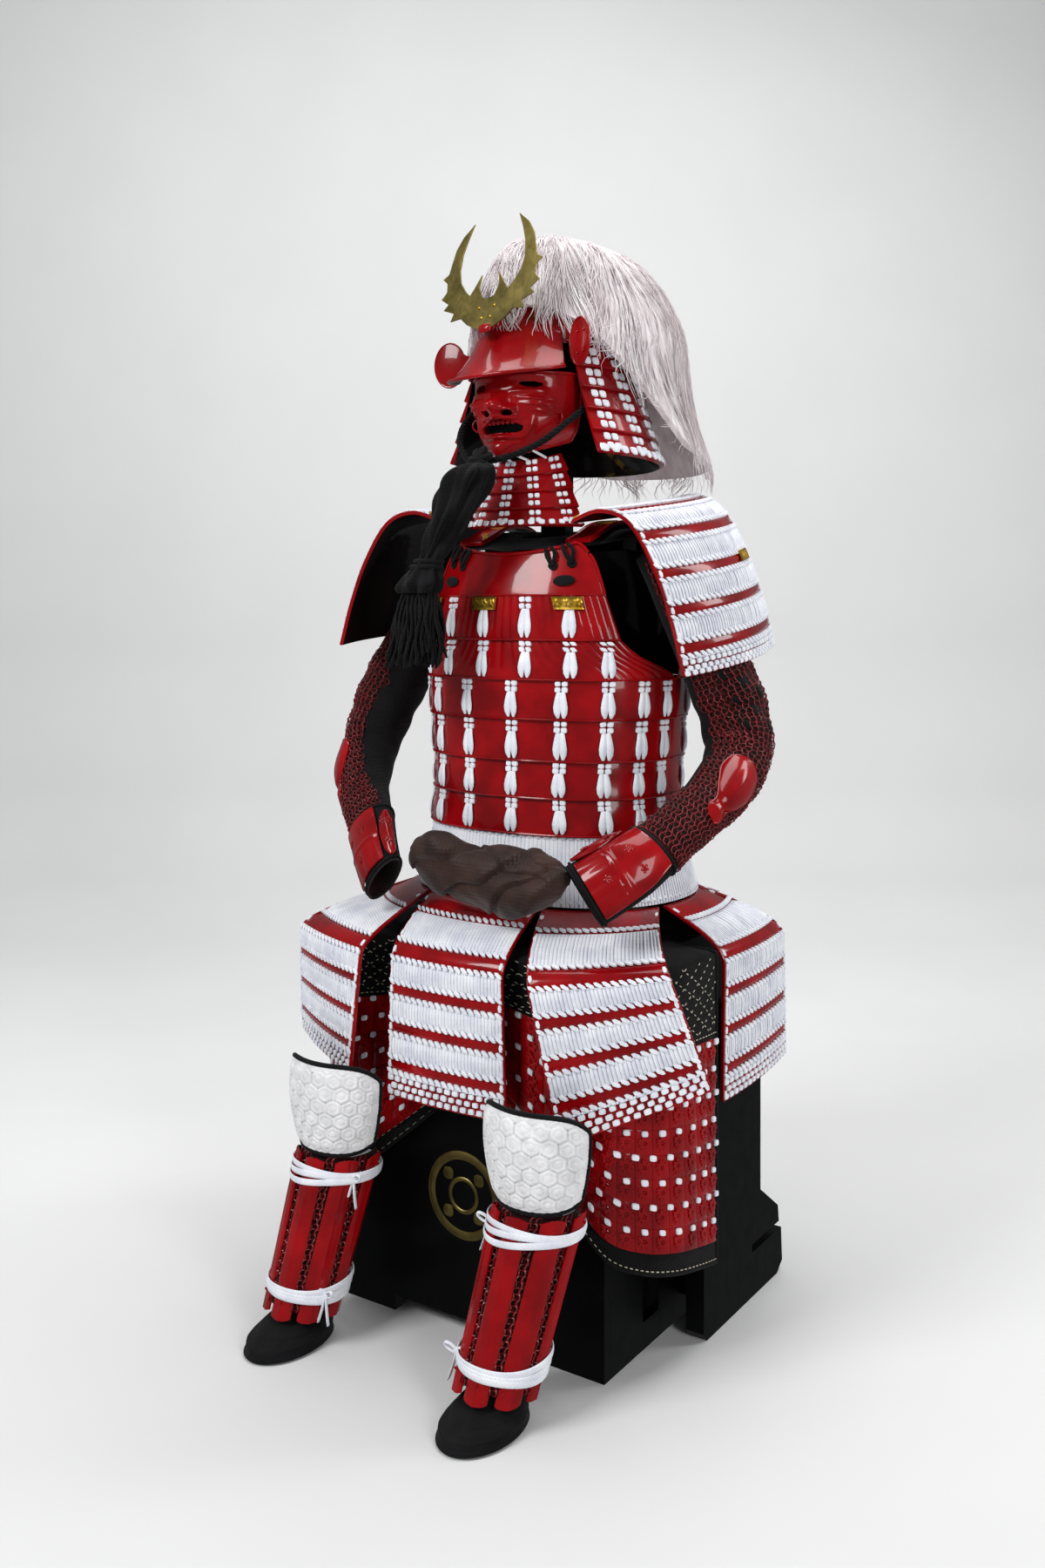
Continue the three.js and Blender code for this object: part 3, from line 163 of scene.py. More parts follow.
class Cloth:
    """Gathers grids, tubes and beads into one mesh. A part of it names its material by number."""

    def __init__(self):
        self.points = []
        self.quads = []
        self.kinds = []
        self.caps = []
        self.count = 0

    def add(self, points, quads, kind):
        self.points.append(np.asarray(points, float).reshape(-1, 3))
        self.quads.append(np.asarray(quads, int) + self.count)
        self.kinds.append(np.broadcast_to(np.asarray(kind).ravel(), (len(quads),)))
        self.count += len(self.points[-1])

    def grid(self, points, kind=0, around=False, flip=False):
        rows, columns = points.shape[:2]
        index = np.arange(rows * columns).reshape(rows, columns)
        if around:
            index = np.concatenate([index, index[:, :1]], axis=1)
        quads = np.stack([index[:-1, :-1], index[:-1, 1:], index[1:, 1:], index[1:, :-1]],
                         axis=-1).reshape(-1, 4)
        self.add(points, quads[:, ::-1] if flip else quads, kind)

    def shell(self, outer, inner, kind=0, inside=None, around=False):
        """A wall between two grids, with its rims closed."""
        self.grid(outer, kind, around)
        self.grid(inner, kind if inside is None else inside, around, flip=True)
        rims = [(outer[0], inner[0]), (inner[-1], outer[-1])]
        if not around:
            rims += [(inner[:, 0], outer[:, 0]), (outer[:, -1], inner[:, -1])]
        for first, second in rims:
            self.grid(np.stack([first, second]), kind, around and len(first) == outer.shape[1])

    def tube(self, path, radius, sides=8, kind=0, flat=1.0, loop=False, facing=None):
        """A cord along a path of points, flattened in the direction that it is facing."""
        path = np.asarray(path, float)
        heading = unit(np.gradient(path, axis=0))
        if loop:
            heading = unit(np.roll(path, -1, 0) - np.roll(path, 1, 0))
        start = np.array([0.0, 0.0, 1.0]) if abs(heading[0][2]) < 0.8 else np.array([1.0, 0.0, 0.0])
        start = start if facing is None else np.asarray(facing, float).reshape(-1, 3)[0]
        side = [unit(np.cross(heading[0], start))]
        for ahead in heading[1:]:
            carried = side[-1] - ahead * side[-1].dot(ahead)
            side.append(unit(carried))
        side = np.array(side)
        other = np.cross(heading, side)
        turn = np.linspace(0, 2 * math.pi, sides, endpoint=False)
        reach = np.broadcast_to(np.asarray(radius, float), (len(path),))[:, None, None]
        ring = (side[:, None] * np.cos(turn)[None, :, None]
                + flat * other[:, None] * np.sin(turn)[None, :, None])
        points = path[:, None] + reach * ring
        if loop:
            points = np.concatenate([points, points[:1]])
        self.grid(points, kind, around=True, flip=True)
        if not loop:
            last = self.count - sides
            self.caps.append((list(range(self.count - len(points) * sides,
                                         self.count - (len(points) - 1) * sides)), kind))
            self.caps.append((list(range(last, self.count))[::-1], kind))

    def beads(self, centres, across, down, normal, sizes, kind=0, square=1.0, rings=(8, 5)):
        """Rounded knots and plaits: sizes are half lengths, square under 1 makes pillows."""
        sides, levels = rings
        turn = np.linspace(0, 2 * math.pi, sides, endpoint=False)
        rise = np.linspace(-math.pi / 2, math.pi / 2, levels + 1)[1:-1]
        power = lambda wave: np.sign(wave) * np.abs(wave) ** square
        ring = np.stack([power(np.cos(turn)), power(np.sin(turn)), np.zeros(sides)], -1)
        shape = np.concatenate([ring * np.cos(level) ** square + [0, 0, math.sin(level)] for level in rise])
        shape = np.concatenate([shape, [[0, 0, -1], [0, 0, 1]]])
        quads = []
        for level in range(len(rise) - 1):
            for side in range(sides):
                a = level * sides + side
                b = level * sides + (side + 1) % sides
                quads.append([a, b, b + sides, a + sides])
        low, high = len(shape) - 2, len(shape) - 1
        top = (len(rise) - 1) * sides
        for side in range(0, sides, 2):
            quads.append([low, (side + 2) % sides, (side + 1) % sides, side])
            quads.append([high, top + side, top + (side + 1) % sides, top + (side + 2) % sides])
        centres, across, down, normal = (np.asarray(a, float).reshape(-1, 3)
                                         for a in (centres, across, down, normal))
        sizes = np.broadcast_to(np.asarray(sizes, float), (len(centres), 3))
        basis = np.stack([across * sizes[:, :1], down * sizes[:, 1:2], normal * sizes[:, 2:3]], axis=1)
        points = centres[:, None] + np.einsum("kj,njc->nkc", shape, basis)
        faces = np.array(quads)[None] + (np.arange(len(centres)) * len(shape))[:, None, None]
        self.add(points, faces.reshape(-1, 4), kind)

    def piece(self, name, materials, slot, nodes=(), welded=False, sharp=None):
        """Makes the object, rides it on the suit and puts it in place of its plain solids."""
        points = np.concatenate(self.points) / 1000 + SHIFT
        mesh = bpy.data.meshes.new(name)
        faces = np.concatenate(self.quads).tolist() + [corners for corners, _ in self.caps]
        kinds = np.concatenate([*self.kinds, [kind for _, kind in self.caps]]).astype(np.int32)
        mesh.from_pydata(points.tolist(), [], faces)
        mesh.polygons.foreach_set("material_index", kinds)
        mesh.polygons.foreach_set("use_smooth", [True] * len(mesh.polygons))
        mesh.validate()
        if welded:
            joined = bmesh.new()
            joined.from_mesh(mesh)
            bmesh.ops.remove_doubles(joined, verts=joined.verts, dist=0.00001)
            joined.to_mesh(mesh)
            joined.free()
        for material in materials:
            mesh.materials.append(material)
        obj = bpy.data.objects.new(name, mesh)
        bpy.context.scene.collection.objects.link(obj)
        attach(obj, "root")
        if nodes:
            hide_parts(*nodes)
        if sharp:
            sharpened(obj, sharp)
        return obj


def cut_of(sheet):
    """Flat width and length in metres and area in square metres of a sheet, measured along it."""
    u, v = grid_of(80, 80)
    points = sheet.base(u, v) / 1000
    width = np.linalg.norm(np.diff(points, axis=1), axis=-1).sum(1).max()
    length = np.linalg.norm(np.diff(points, axis=0), axis=-1).sum(0).max()
    crossed = np.cross(points[1:, 1:] - points[:-1, :-1], points[1:, :-1] - points[:-1, 1:])
    area = np.linalg.norm(crossed, axis=-1).sum() / 2
    return (round(float(width), 3), round(float(length), 3)), float(area)


def side_rolls(cloth, sheet, inset, course, lift, radius):
    """A rolled edge down both sides of a face, this share of its width in."""
    for u_edge in (inset, 1 - inset):
        cloth.tube(sheet.at(u_edge, course, lift), radius, 8, 0)


def sharpened(obj, degrees):
    """Keeps edges steeper than this crisp on a smooth piece."""
    bpy.context.view_layer.objects.active = obj
    obj.select_set(True)
    bpy.ops.object.shade_smooth_by_angle(angle=math.radians(degrees))
    obj.select_set(False)


# bands of a wave texture are 0.314 / scale metres apart, so with this they lie two pitches apart
WAVE_RATIO = 6.3
# pitch in mm of the plies of the silk cords
SILK_PLY = 1.6


def linear(code):
    """The linear colour of an sRGB hex code such as #8E1014."""
    parts = [int(code[i:i + 2], 16) / 255 for i in (1, 3, 5)]
    return [p / 12.92 if p <= 0.04045 else ((p + 0.055) / 1.055) ** 2.4 for p in parts] + [1.0]


def add_node(tree, kind, settings=None, links=None):
    """One shader node with its settings (attributes, or sockets by name) and incoming links."""
    made = tree.nodes.new(kind)
    for name, value in (settings or {}).items():
        if isinstance(name, str) and hasattr(made, name):
            setattr(made, name, value)
        else:
            made.inputs[name].default_value = value
    for name, source in (links or {}).items():
        tree.links.new(source, made.inputs[name])
    return made


def surface(name, code, roughness, metallic=0.0, **sockets):
    """A new material whose shader holds the constants; returns it, its tree and its shader."""
    material = bpy.data.materials.new(name)
    material.use_nodes = True
    tree = material.node_tree
    shader = tree.nodes["Principled BSDF"]
    shader.inputs["Base Color"].default_value = linear(code)
    shader.inputs["Roughness"].default_value = roughness
    shader.inputs["Metallic"].default_value = metallic
    for socket, value in sockets.items():
        shader.inputs[socket.replace("_", " ")].default_value = value
    material.diffuse_color = linear(code)
    return material, tree, shader


def place_of(tree, stretch=(1, 1, 1)):
    """Coordinates in metres on the piece, stretched where a pattern runs one way."""
    where = add_node(tree, "ShaderNodeTexCoord").outputs["Object"]
    return add_node(tree, "ShaderNodeMapping", {"Scale": stretch}, {"Vector": where}).outputs["Vector"]


def noise_of(tree, size_mm, detail, stretch=(1, 1, 1)):
    """A noise whose patches are about size_mm across."""
    noise = add_node(tree, "ShaderNodeTexNoise", {"Scale": 1000 / size_mm, "Detail": detail},
                     {"Vector": place_of(tree, stretch)})
    return noise.outputs["Fac"]


def varied(tree, shader, codes, size_mm, detail=4.0, stretch=(1, 1, 1), spread=(0.35, 0.65)):
    """Colour that drifts between two tones in patches of size_mm."""
    ramp = add_node(tree, "ShaderNodeValToRGB", links={"Fac": noise_of(tree, size_mm, detail, stretch)})
    for element, position, code in zip(ramp.color_ramp.elements, spread, codes):
        element.position = position
        element.color = linear(code)
    tree.links.new(ramp.outputs["Color"], shader.inputs["Base Color"])
    return ramp


def roughened(tree, shader, low, high, size_mm):
    spread = add_node(tree, "ShaderNodeMapRange", {"To Min": low, "To Max": high},
                      {"Value": noise_of(tree, size_mm, 5.0)})
    tree.links.new(spread.outputs["Result"], shader.inputs["Roughness"])


def raised(tree, shader, height, depth_mm, strength=0.5):
    made = add_node(tree, "ShaderNodeBump", {"Strength": strength, "Distance": depth_mm / 1000},
                    {"Height": height})
    tree.links.new(made.outputs["Normal"], shader.inputs["Normal"])


def woven(tree, pitch_mm, stretch=(1, 1, 1)):
    """Height of a plain weave: two crossed sets of threads."""
    heights = []
    for direction in ("X", "Z"):
        wave = add_node(tree, "ShaderNodeTexWave",
                        {"bands_direction": direction, "Scale": 1000 / pitch_mm / WAVE_RATIO,
                        "Distortion": 1.2, "Detail": 2.0}, {"Vector": place_of(tree, stretch)})
        heights.append(wave.outputs["Fac"])
    both = add_node(tree, "ShaderNodeMath", {"operation": "MULTIPLY"})
    for socket, height in enumerate(heights):
        tree.links.new(height, both.inputs[socket])
    return both.outputs["Value"]


def brushed_lacquer(name, dark, light, coat=0.7, low=0.16, high=0.3):
    """Urushi lacquer, brushed in coats over iron and polished: deep colour, clear gloss, slow waves."""
    material, tree, shader = surface(name, light, low, Coat_Weight=coat, Coat_Roughness=0.06, Coat_IOR=1.4,
                                     Specular_IOR_Level=0.12)
    varied(tree, shader, (dark, light), 60, 3.0)
    roughened(tree, shader, low, high, 14)
    raised(tree, shader, noise_of(tree, 22, 2.0), 0.5, 0.25)
    return material


def plied_silk(name, dark, light):
    """Flat plaited silk cord: soft matt white with slanting plies."""
    material, tree, shader = surface(name, light, 0.78, Specular_IOR_Level=0.3)
    varied(tree, shader, (dark, light), 26)
    plies = add_node(tree, "ShaderNodeTexWave",
                     {"bands_direction": "DIAGONAL", "Scale": 1000 / SILK_PLY / WAVE_RATIO,
                     "Distortion": 1.5}, {"Vector": place_of(tree)})
    raised(tree, shader, plies.outputs["Fac"], 0.5, 0.5)
    return material


def gilt_plate(name, dark, light):
    """Rolled and gilt brass sheet: metal with faint brushing, dulled in patches."""
    material, tree, shader = surface(name, light, 0.34, 1.0)
    varied(tree, shader, (dark, light), 30)
    roughened(tree, shader, 0.26, 0.5, 8)
    raised(tree, shader, noise_of(tree, 3, 3.0, (1, 1, 0.08)), 0.15, 0.3)
    return material


def riveted_mail(name, dark, light):
    """Drawn iron rings under worn red lacquer: small glints on a dark, half-metal surface."""
    material, tree, shader = surface(name, light, 0.4, 0.15, Coat_Weight=0.25, Coat_Roughness=0.2)
    varied(tree, shader, (dark, light), 9, 2.0)
    roughened(tree, shader, 0.3, 0.6, 4)
    return material


def woven_cloth(name, dark, light, pitch_mm, roughness=0.9, sheen=0.3, depth=0.6):
    """Plain-woven cloth. The thread is drawn a little coarse so that it shows from a step away."""
    material, tree, shader = surface(name, light, roughness, Sheen_Weight=sheen, Sheen_Roughness=0.5,
                                     Specular_IOR_Level=0.2)
    varied(tree, shader, (dark, light), 45)
    raised(tree, shader, woven(tree, pitch_mm), depth, 0.7)
    return material


def quilted_leather(name, dark, light):
    """Soft white hide stitched in hexagons: fine pebbled grain, slightly worn on its bosses."""
    material, tree, shader = surface(name, light, 0.6, Specular_IOR_Level=0.35)
    varied(tree, shader, (dark, light), 18)
    grain = add_node(tree, "ShaderNodeTexVoronoi", {"Scale": 1000 / 2.6}, {"Vector": place_of(tree)})
    raised(tree, shader, grain.outputs["Distance"], 0.5, 0.6)
    return material


def animal_hair(name, dark, light):
    """Long pale yak hair: soft shine along the strands, tips and roots of other tones."""
    material, tree, shader = surface(name, light, 0.5, Specular_IOR_Level=0.3)
    varied(tree, shader, (dark, light), 16, 4.0, (1, 1, 0.2))
    raised(tree, shader, noise_of(tree, 2.5, 3.0, (1, 1, 0.1)), 0.8, 0.5)
    return material


def lacquered_board(name, dark, light):
    """Black lacquer brushed on planks: satin, with the grain just showing and rubbed edges."""
    material, tree, shader = surface(name, light, 0.4, Coat_Weight=0.06, Coat_Roughness=0.2,
                                     Specular_IOR_Level=0.1)
    varied(tree, shader, (dark, light), 90, 5.0, (1, 1, 0.12))
    roughened(tree, shader, 0.3, 0.55, 25)
    raised(tree, shader, noise_of(tree, 6, 6.0, (1, 1, 0.05)), 0.4, 0.35)
    return material


class ArmourFinish(bpy.types.PropertyGroup):
    """Colours as sRGB hex codes."""
    lacquer: StringProperty(name="Lacquer", description="Red lacquer of the plates", default="#9C090F")
    lacing: StringProperty(name="Lacing", description="Silk cords and knots", default="#EEF0F5")
    gilt: StringProperty(name="Gilt", description="Crest and fittings", default="#98884E")
    mail: StringProperty(name="Mail", description="Rings on the sleeves", default="#8C1216")
    cloth: StringProperty(name="Black cloth", description="Sleeves' ground, boots, cord", default="#111113")
    sash: StringProperty(name="Sash", description="Rolled silk at the waist", default="#3A241D")
    quilt: StringProperty(name="Quilt", description="Knee guards", default="#EFEFF0")
    hair: StringProperty(name="Hair", description="Mane of the helmet", default="#F6F0F1")
    box: StringProperty(name="Box", description="Storage box and stand", default="#060607")


class ArmourSizes(bpy.types.PropertyGroup):
    """What a maker would choose before lacing a suit."""
    cord: FloatProperty(name="Cord pitch", description="Spacing of the dense lacing", default=0.0054,
                        min=0.003, max=0.008, unit="LENGTH", precision=4)
    ring: FloatProperty(name="Ring pitch", description="Spacing of the mail rings", default=0.0088,
                        min=0.006, max=0.02, unit="LENGTH", precision=4)
    strands: IntProperty(name="Strands", description="Locks of hair on the helmet", default=1500, min=200,
                         max=4000)
    tassel: IntProperty(name="Tassel strands", description="Loose cords of the tassel", default=110, min=20,
                        max=300)


MATERIALS = {}


def make_materials(finish):
    MATERIALS.update({
        "lacquer": brushed_lacquer("polished red lacquer", "#78050A", finish.lacquer),
        "inside": brushed_lacquer("black lacquer lining", "#0A0707", "#150B0B", 0.4, 0.35, 0.5),
        "lacing": plied_silk("white silk cord", "#DDE0EA", finish.lacing),
        # hollow: the white cord darkened, as painted shade in the grooves between neighbouring cords
        "hollow": plied_silk("silk cord with painted shade in its hollows", "#A3A2AD", "#C0C0CB"),
        "gilt": gilt_plate("gilt brass plate", "#756A3C", finish.gilt),
        "gold": gilt_plate("bright gilt fitting", "#A8801E", "#D9B04A"),
        "mail": riveted_mail("red lacquered rings", "#560A0D", finish.mail),
        "ground": woven_cloth("dark red sleeve cloth", "#170506", "#2B0A0B", 2.2, sheen=0.05),
        "cloth": woven_cloth("black cotton", "#070708", finish.cloth, 2.4, sheen=0.04),
        "sash": woven_cloth("brown crinkled silk", "#20120E", finish.sash, 2.6, 0.55, 0.12, 0.6),
        "thread": plied_silk("pale stitching thread", "#B9B29C", "#D6CFB8"),
        "quilt": quilted_leather("white quilted hide", "#D9D9DA", finish.quilt),
        "seam": quilted_leather("seam of the quilting", "#B3B1AA", "#CCCAC3"),
        "hair": animal_hair("pale yak hair", "#D8CCCF", finish.hair),
        "box": lacquered_board("black lacquered wood", "#030303", finish.box),
    })


def chosen(*names):
    return [MATERIALS[name] for name in names]


TORSO_WIDTHS = [(699, 197), (770, 190), (850, 197), (921, 204), (1042, 192), (1125, 172)]
TORSO_DEPTHS = [(699, 150), (820, 148), (921, 152), (1042, 148), (1125, 126)]
SEAM = 89.94
LAP = 0.3


def torso(angle, z, offset=0.0):
    """A point of the cuirass at an angle in degrees from the front towards the wearer's left."""
    turn = np.radians(angle)
    across, deep = np.sin(turn), np.cos(turn)
    width = along(TORSO_WIDTHS, z) + offset
    depth = along(TORSO_DEPTHS, z) + offset
    return vec(width * across * (1 + 0.1 * deep**2), TORSO_Y - depth * deep * (1 + 0.1 * across**2), z)


def from_torso(point):
    return point * [1, 1, 0] - [0, TORSO_Y, 0]


def lame_sheet(top, bottom, reach, centre, flare=3.5):
    """One lame: reach(v) is its half angle, top(u) its upper edge. It steps out by flare."""
    def base(u, v):
        angle = centre + (2 * u - 1) * reach(v)
        z = top(u) + (bottom - top(u)) * v
        return torso(angle, z, 1.25 + flare * v)
    sheet = Sheet(base, from_torso)
    sheet.reach = reach
    return sheet


def rolled_wall(cloth, sheet, columns, rows, thick, kind=0, inside=1, profile=None, around=False):
    """The panel itself: outer face with a profile across it, inner face, and rims."""
    u, v = grid_of(columns, rows)
    if around:
        u, v = u[:, :-1], v[:, :-1]
    rise = profile(u, v) if profile else 0.0
    edge = np.minimum(np.minimum(u, 1 - u) * columns, np.minimum(v, 1 - v) * rows) if not around else \
        np.minimum(v, 1 - v) * rows
    soft = -0.7 * (edge < 0.5)
    outer = sheet.at(u, v, soft + rise)
    inner = sheet.at(u, v, -thick)
    cloth.shell(outer, inner, kind, inside, around)


def cord_pair(cloth, sheet, u, top, bottom, gap, width, lift, kind=2):
    """Two flat cords hanging side by side down a lame, close at the top and spread at its lower edge."""
    point, across, down, normal = sheet.frame(np.array(u), np.array((top + bottom) / 2))
    down = unit(normal * normal[2] - [0, 0, 1])
    across = unit(np.cross(down, normal)) * np.sign(across @ np.cross(down, normal))
    length = abs((sheet.base(np.array(u), np.array(bottom)) - sheet.base(np.array(u), np.array(top)))[2])
    for side in (-1, 1):
        spread = np.array([0.62, 0.8, 0.98, 1.12, 1.12, 0.9]) * gap * side
        course = np.linspace(-0.5, 0.5, 6) * length
        rise = lift + np.array([-0.6, 0.9, 1.2, 1.1, 0.6, -0.8])
        path = point + across * spread[:, None] + down * course[:, None] + normal * rise[:, None]
        reach = width * np.array([0.36, 0.46, 0.53, 0.58, 0.5, 0.2])
        cloth.tube(path, reach, 8, kind, 0.5, facing=normal)


def cross_knots(cloth, sheet, us, v, width, height, lift, kind=2, tilt=0.0, thick=2.7):
    """Small square knots in a row, each a plump pillow of two crossed cords."""
    us = np.asarray(us, float)
    point, across, down, normal = sheet.frame(us, v)
    lean = DICE.normal(tilt, 0.08, len(us))[:, None]
    a = across * np.cos(lean) + down * np.sin(lean)
    d = down * np.cos(lean) - across * np.sin(lean)
    sizes = np.array([width / 2, height / 2, thick]) * DICE.uniform(0.92, 1.06, (len(us), 1))
    cloth.beads(point + normal * lift, a, d, normal, sizes, kind, 0.5, (8, 4))


def fitting(cloth, sheet, u, v, width, height, lift, kind=3):
    """Gilt fitting: a plate with a raised rim and a row of open five-petalled flowers."""
    point, across, down, normal = (a for a in sheet.frame(np.array(u), np.array(v)))
    local = lambda x, y, z: point + across * np.asarray(x)[..., None] + down * np.asarray(y)[..., None] \
        + normal * (np.asarray(z)[..., None] + lift)
    s, t = grid_of(32, 10)
    x = (s - 0.5) * width
    y = (t - 0.5) * height
    rim = np.maximum(np.abs(2 * s - 1) ** 10, np.abs(2 * t - 1) ** 6)
    flower = np.zeros_like(x)
    for centre in np.linspace(-0.36, 0.36, 3) * width:
        angle = np.arctan2(y, x - centre)
        radius = np.hypot(x - centre, y)
        petal = height * 0.36 * (0.78 + 0.22 * np.cos(5 * angle))
        flower = np.maximum(flower, 1.1 * bump(radius, petal * 0.6, petal * 0.5))
    cloth.shell(local(x, y, 1.2 + 0.9 * rim + flower), local(x, y, 0 * x - 0.6), kind)


def cuirass_sheets():
    """All plates of the cuirass by name, worked out from the heights of the lames."""
    def breast_top(u):
        side = np.abs(2 * u - 1)
        return 1104 + 22 * side**2 - 26 * np.clip((side - 0.8) / 0.2, 0, 1) ** 2
    flat = lambda z: lambda u: np.full_like(np.asarray(u, float), z)
    armhole = [(0, 55), (0.35, 62), (0.6, 74), (0.8, 84), (1, SEAM)]
    back_hole = [(0, 38), (0.45, 42), (0.75, 54), (0.9, 74), (1, SEAM)]
    made = {
        "breast_board": lame_sheet(breast_top, BREAST_Z + LAP, lambda v: 40 + 8 * np.sqrt(np.maximum(v, 0)),
                                   0, 0.0),
        "chest_lame_1": lame_sheet(flat(BREAST_Z), CHEST_MIDDLE_Z + LAP, lambda v: 48 + 6 * v, 0),
        "chest_lame_2": lame_sheet(flat(CHEST_MIDDLE_Z), CHEST_Z + LAP, lambda v: along(armhole, v), 0),
        "back_board": lame_sheet(flat(BACK_TOP_Z), CHEST_Z + LAP, lambda v: along(back_hole, v), 180),
    }
    edges = [CHEST_Z, 864, 804, 751, HEM_Z]
    for row, (high, low) in enumerate(zip(edges, edges[1:])):
        made[f"waist_front_{row + 1}"] = lame_sheet(flat(high), low + LAP, lambda v: SEAM + 0 * v, 0)
        made[f"waist_back_{row + 1}"] = lame_sheet(flat(high), low + LAP, lambda v: SEAM + 0 * v, 180)
    return made


# Angles in degrees of the lacing columns on the front plates, and on the ones behind
WAIST_COLUMNS = [-79, -58, -37, -16, 5, 26, 47, 66, 82]
CHEST_COLUMNS = [-46, -27, -8, 11, 30, 47]
BACK_COLUMNS = [-70, -46, -22, 0, 22, 46, 70]


def scalloped(columns, rise):
    """Profile of a lame made of upright scales: shallow ribs side by side."""
    return lambda u, v: rise * np.abs(np.sin(math.pi * u * columns)) ** 0.6 * np.clip((1 - v) * 6, 0, 1)


def dress_lame(cloth, name, sheet, columns):
    """Scale ribs, rolled lower edge and lacing columns of one plate."""
    scales = {"breast_board": 0, "back_board": 0}.get(name, 26)
    ribbed = scales and "chest" in name
    rolled_wall(cloth, sheet, 208 if ribbed else 64, 5, 2.6,
                profile=scalloped(scales, 1.3) if ribbed else None)
    u = np.linspace(0.004, 0.996, 90)
    edge = sheet.at(u, 0.99, 0.8)
    cloth.tube(edge, 1.5, 6, 0)
    for angle in columns:
        middle = lambda v: 0.5 + angle / (2 * sheet.reach(np.array(v)))
        if not 0.04 < middle(0.0) < 0.96:
            continue
        cord_pair(cloth, sheet, middle(0.615), 0.29, 0.94, 4.6, 9.6, 2.0)
        for height in (0.08, 0.23):
            u_mid = middle(height)
            half = 5.2 / np.linalg.norm(sheet.base(u_mid + 0.05, np.array(height))
                                        - sheet.base(u_mid - 0.05, np.array(height))) * 0.1
            cross_knots(cloth, sheet, [u_mid - half, u_mid + half], height, 9.6, 8.2, 1.8)


def cord_holes(cloth, sheet, middle, width, v):
    """Two holes with raised black rims, the cords through them and the toggle above that they hold."""
    for du in (-width / 2, width / 2):
        point, across, down, normal = sheet.frame(np.array(middle + du), np.array(v))
        turn = np.linspace(0, 2 * math.pi, 17)[:-1, None]
        cloth.tube(point + normal * 1.4 + 5.2 * (across * np.cos(turn) + down * np.sin(turn)), 2.2, 6, 4,
                   loop=True)
        cloth.beads(point + normal * 0.9, across, down, normal, (4, 4, 1.6), 4)
        for lean in (-1, 1):
            course = np.linspace(0, 1, 9)
            tail = sheet.at(middle + du, v - v * 1.02 * course, 3.0 + 2.4 * np.sin(course * math.pi)) \
                + across * (lean * 6.4 * np.sin(course * 2.4))[:, None]
            cloth.tube(tail, 3.0, 8, 4)
    point, across, down, normal = sheet.frame(np.array(middle), np.array(v + 0.34))
    reach = np.linspace(-1, 1, 13)
    toggle = point + across * (reach * 16)[:, None] + normal * (3.0 - 1.2 * reach**2)[:, None]
    cloth.tube(toggle, 7.8 * np.sqrt(np.clip(1.08 - reach**2, 0, 1)), 10, 4, 0.4, facing=normal)


def make_cuirass():
    cloth = Cloth()
    sheets = cuirass_sheets()
    for name, sheet in sheets.items():
        behind = "back" in name
        columns = BACK_COLUMNS if behind else CHEST_COLUMNS if "chest" in name else WAIST_COLUMNS
        if name == "breast_board":
            columns = []
        dress_lame(cloth, name, sheet, columns)
    breast = sheets["breast_board"]
    for middle in (0.16, 0.8):
        cord_holes(cloth, breast, middle, 0.1, 0.36)
    for angle in (-45, -8, 30):
        fitting(cloth, sheets["chest_lame_1"], 0.5 + angle / 99, 0.17, 44, 19, 3.4)
    rim = np.linspace(0.01, 0.99, 80)
    cloth.tube(breast.at(rim, 0.005, 0.6), 2.6, 8, 0)
    side_rolls(cloth, breast, 0.006, np.linspace(0.01, 0.97, 24), 0.6, 2.2)
    cloth.piece("cuirass_dressed", chosen("lacquer", "inside", "lacing", "gold", "cloth"), "lacquer",
                ("breast_board", "chest_lame_1", "chest_lame_2", "back_board", "waist_back",
                 "waist_front_1", "waist_front_2", "waist_front_3", "waist_front_4"), sharp=40)


SHOULDER_LINE = [(-118, 1098), (-95, 1112), (-60, 1124), (-20, 1140), (20, 1146), (60, 1140), (92, 1118),
                 (112, 1102)]


def shoulder_z(x, y):
    outer = np.clip((np.abs(x) - 110) / 60, 0, 1)
    return rounded(SHOULDER_LINE, y) - 9 * outer**2


def make_shoulders():
    """Black shoulder cloth with a neck hole and creases, and the two lacquered straps on it."""
    def yoke(u, v):
        turn = 2 * math.pi * u
        reach = 0.42 + 0.58 * v
        x = 168 * reach * np.sin(turn)
        y = -96 * reach * np.cos(turn) * (1 + 0.12 * np.sin(turn) ** 2)
        creases = 1.1 * np.sin(x / 11 + 0.6 * np.sin(y / 17)) * np.clip(v * 3, 0, 1)
        return vec(x, y, shoulder_z(x, y) - 0.6 + creases)
    cloth = Cloth()
    up = lambda point: point * 0 + [0, 0, 1]
    rolled_wall(cloth, Sheet(yoke, up), 72, 22, 2.2, 0, 0, around=True)
    piece = cloth.piece("shoulder_cloth", chosen("cloth"), "black_cloth", ("sleeve_yoke",), welded=True)
    cut_of(Sheet(yoke, up))[1]
    for side, name in SIDES:
        straps = Cloth()
        base = lambda u, v: vec(side * (96 + 21 * (2 * u - 1)), 100 - 186 * v,
                                rounded(SHOULDER_LINE, 100 - 186 * v) + 8.6)
        sheet = Sheet(base, up)
        rolled_wall(straps, sheet, 12, 40, 4.5)
        side_rolls(straps, sheet, 0.03, np.linspace(0.01, 0.99, 40), 0.4, 1.8)
        for v_fitting in (0.2, 0.55):
            fitting(straps, sheet, 0.5, v_fitting, 30, 16, 0.4, 2)
        straps.piece("strap_lacquered_" + name, chosen("lacquer", "inside", "gold"), "lacquer",
                     ("strap_" + name,), sharp=40)


def skirt_point(angle, z):
    out = along([(602, 20), (660, 5), (699, -1)], z)
    return torso(angle, np.full_like(np.asarray(z, float), HEM_Z), out) * [1, 1, 0] + vec(0, 0, z)


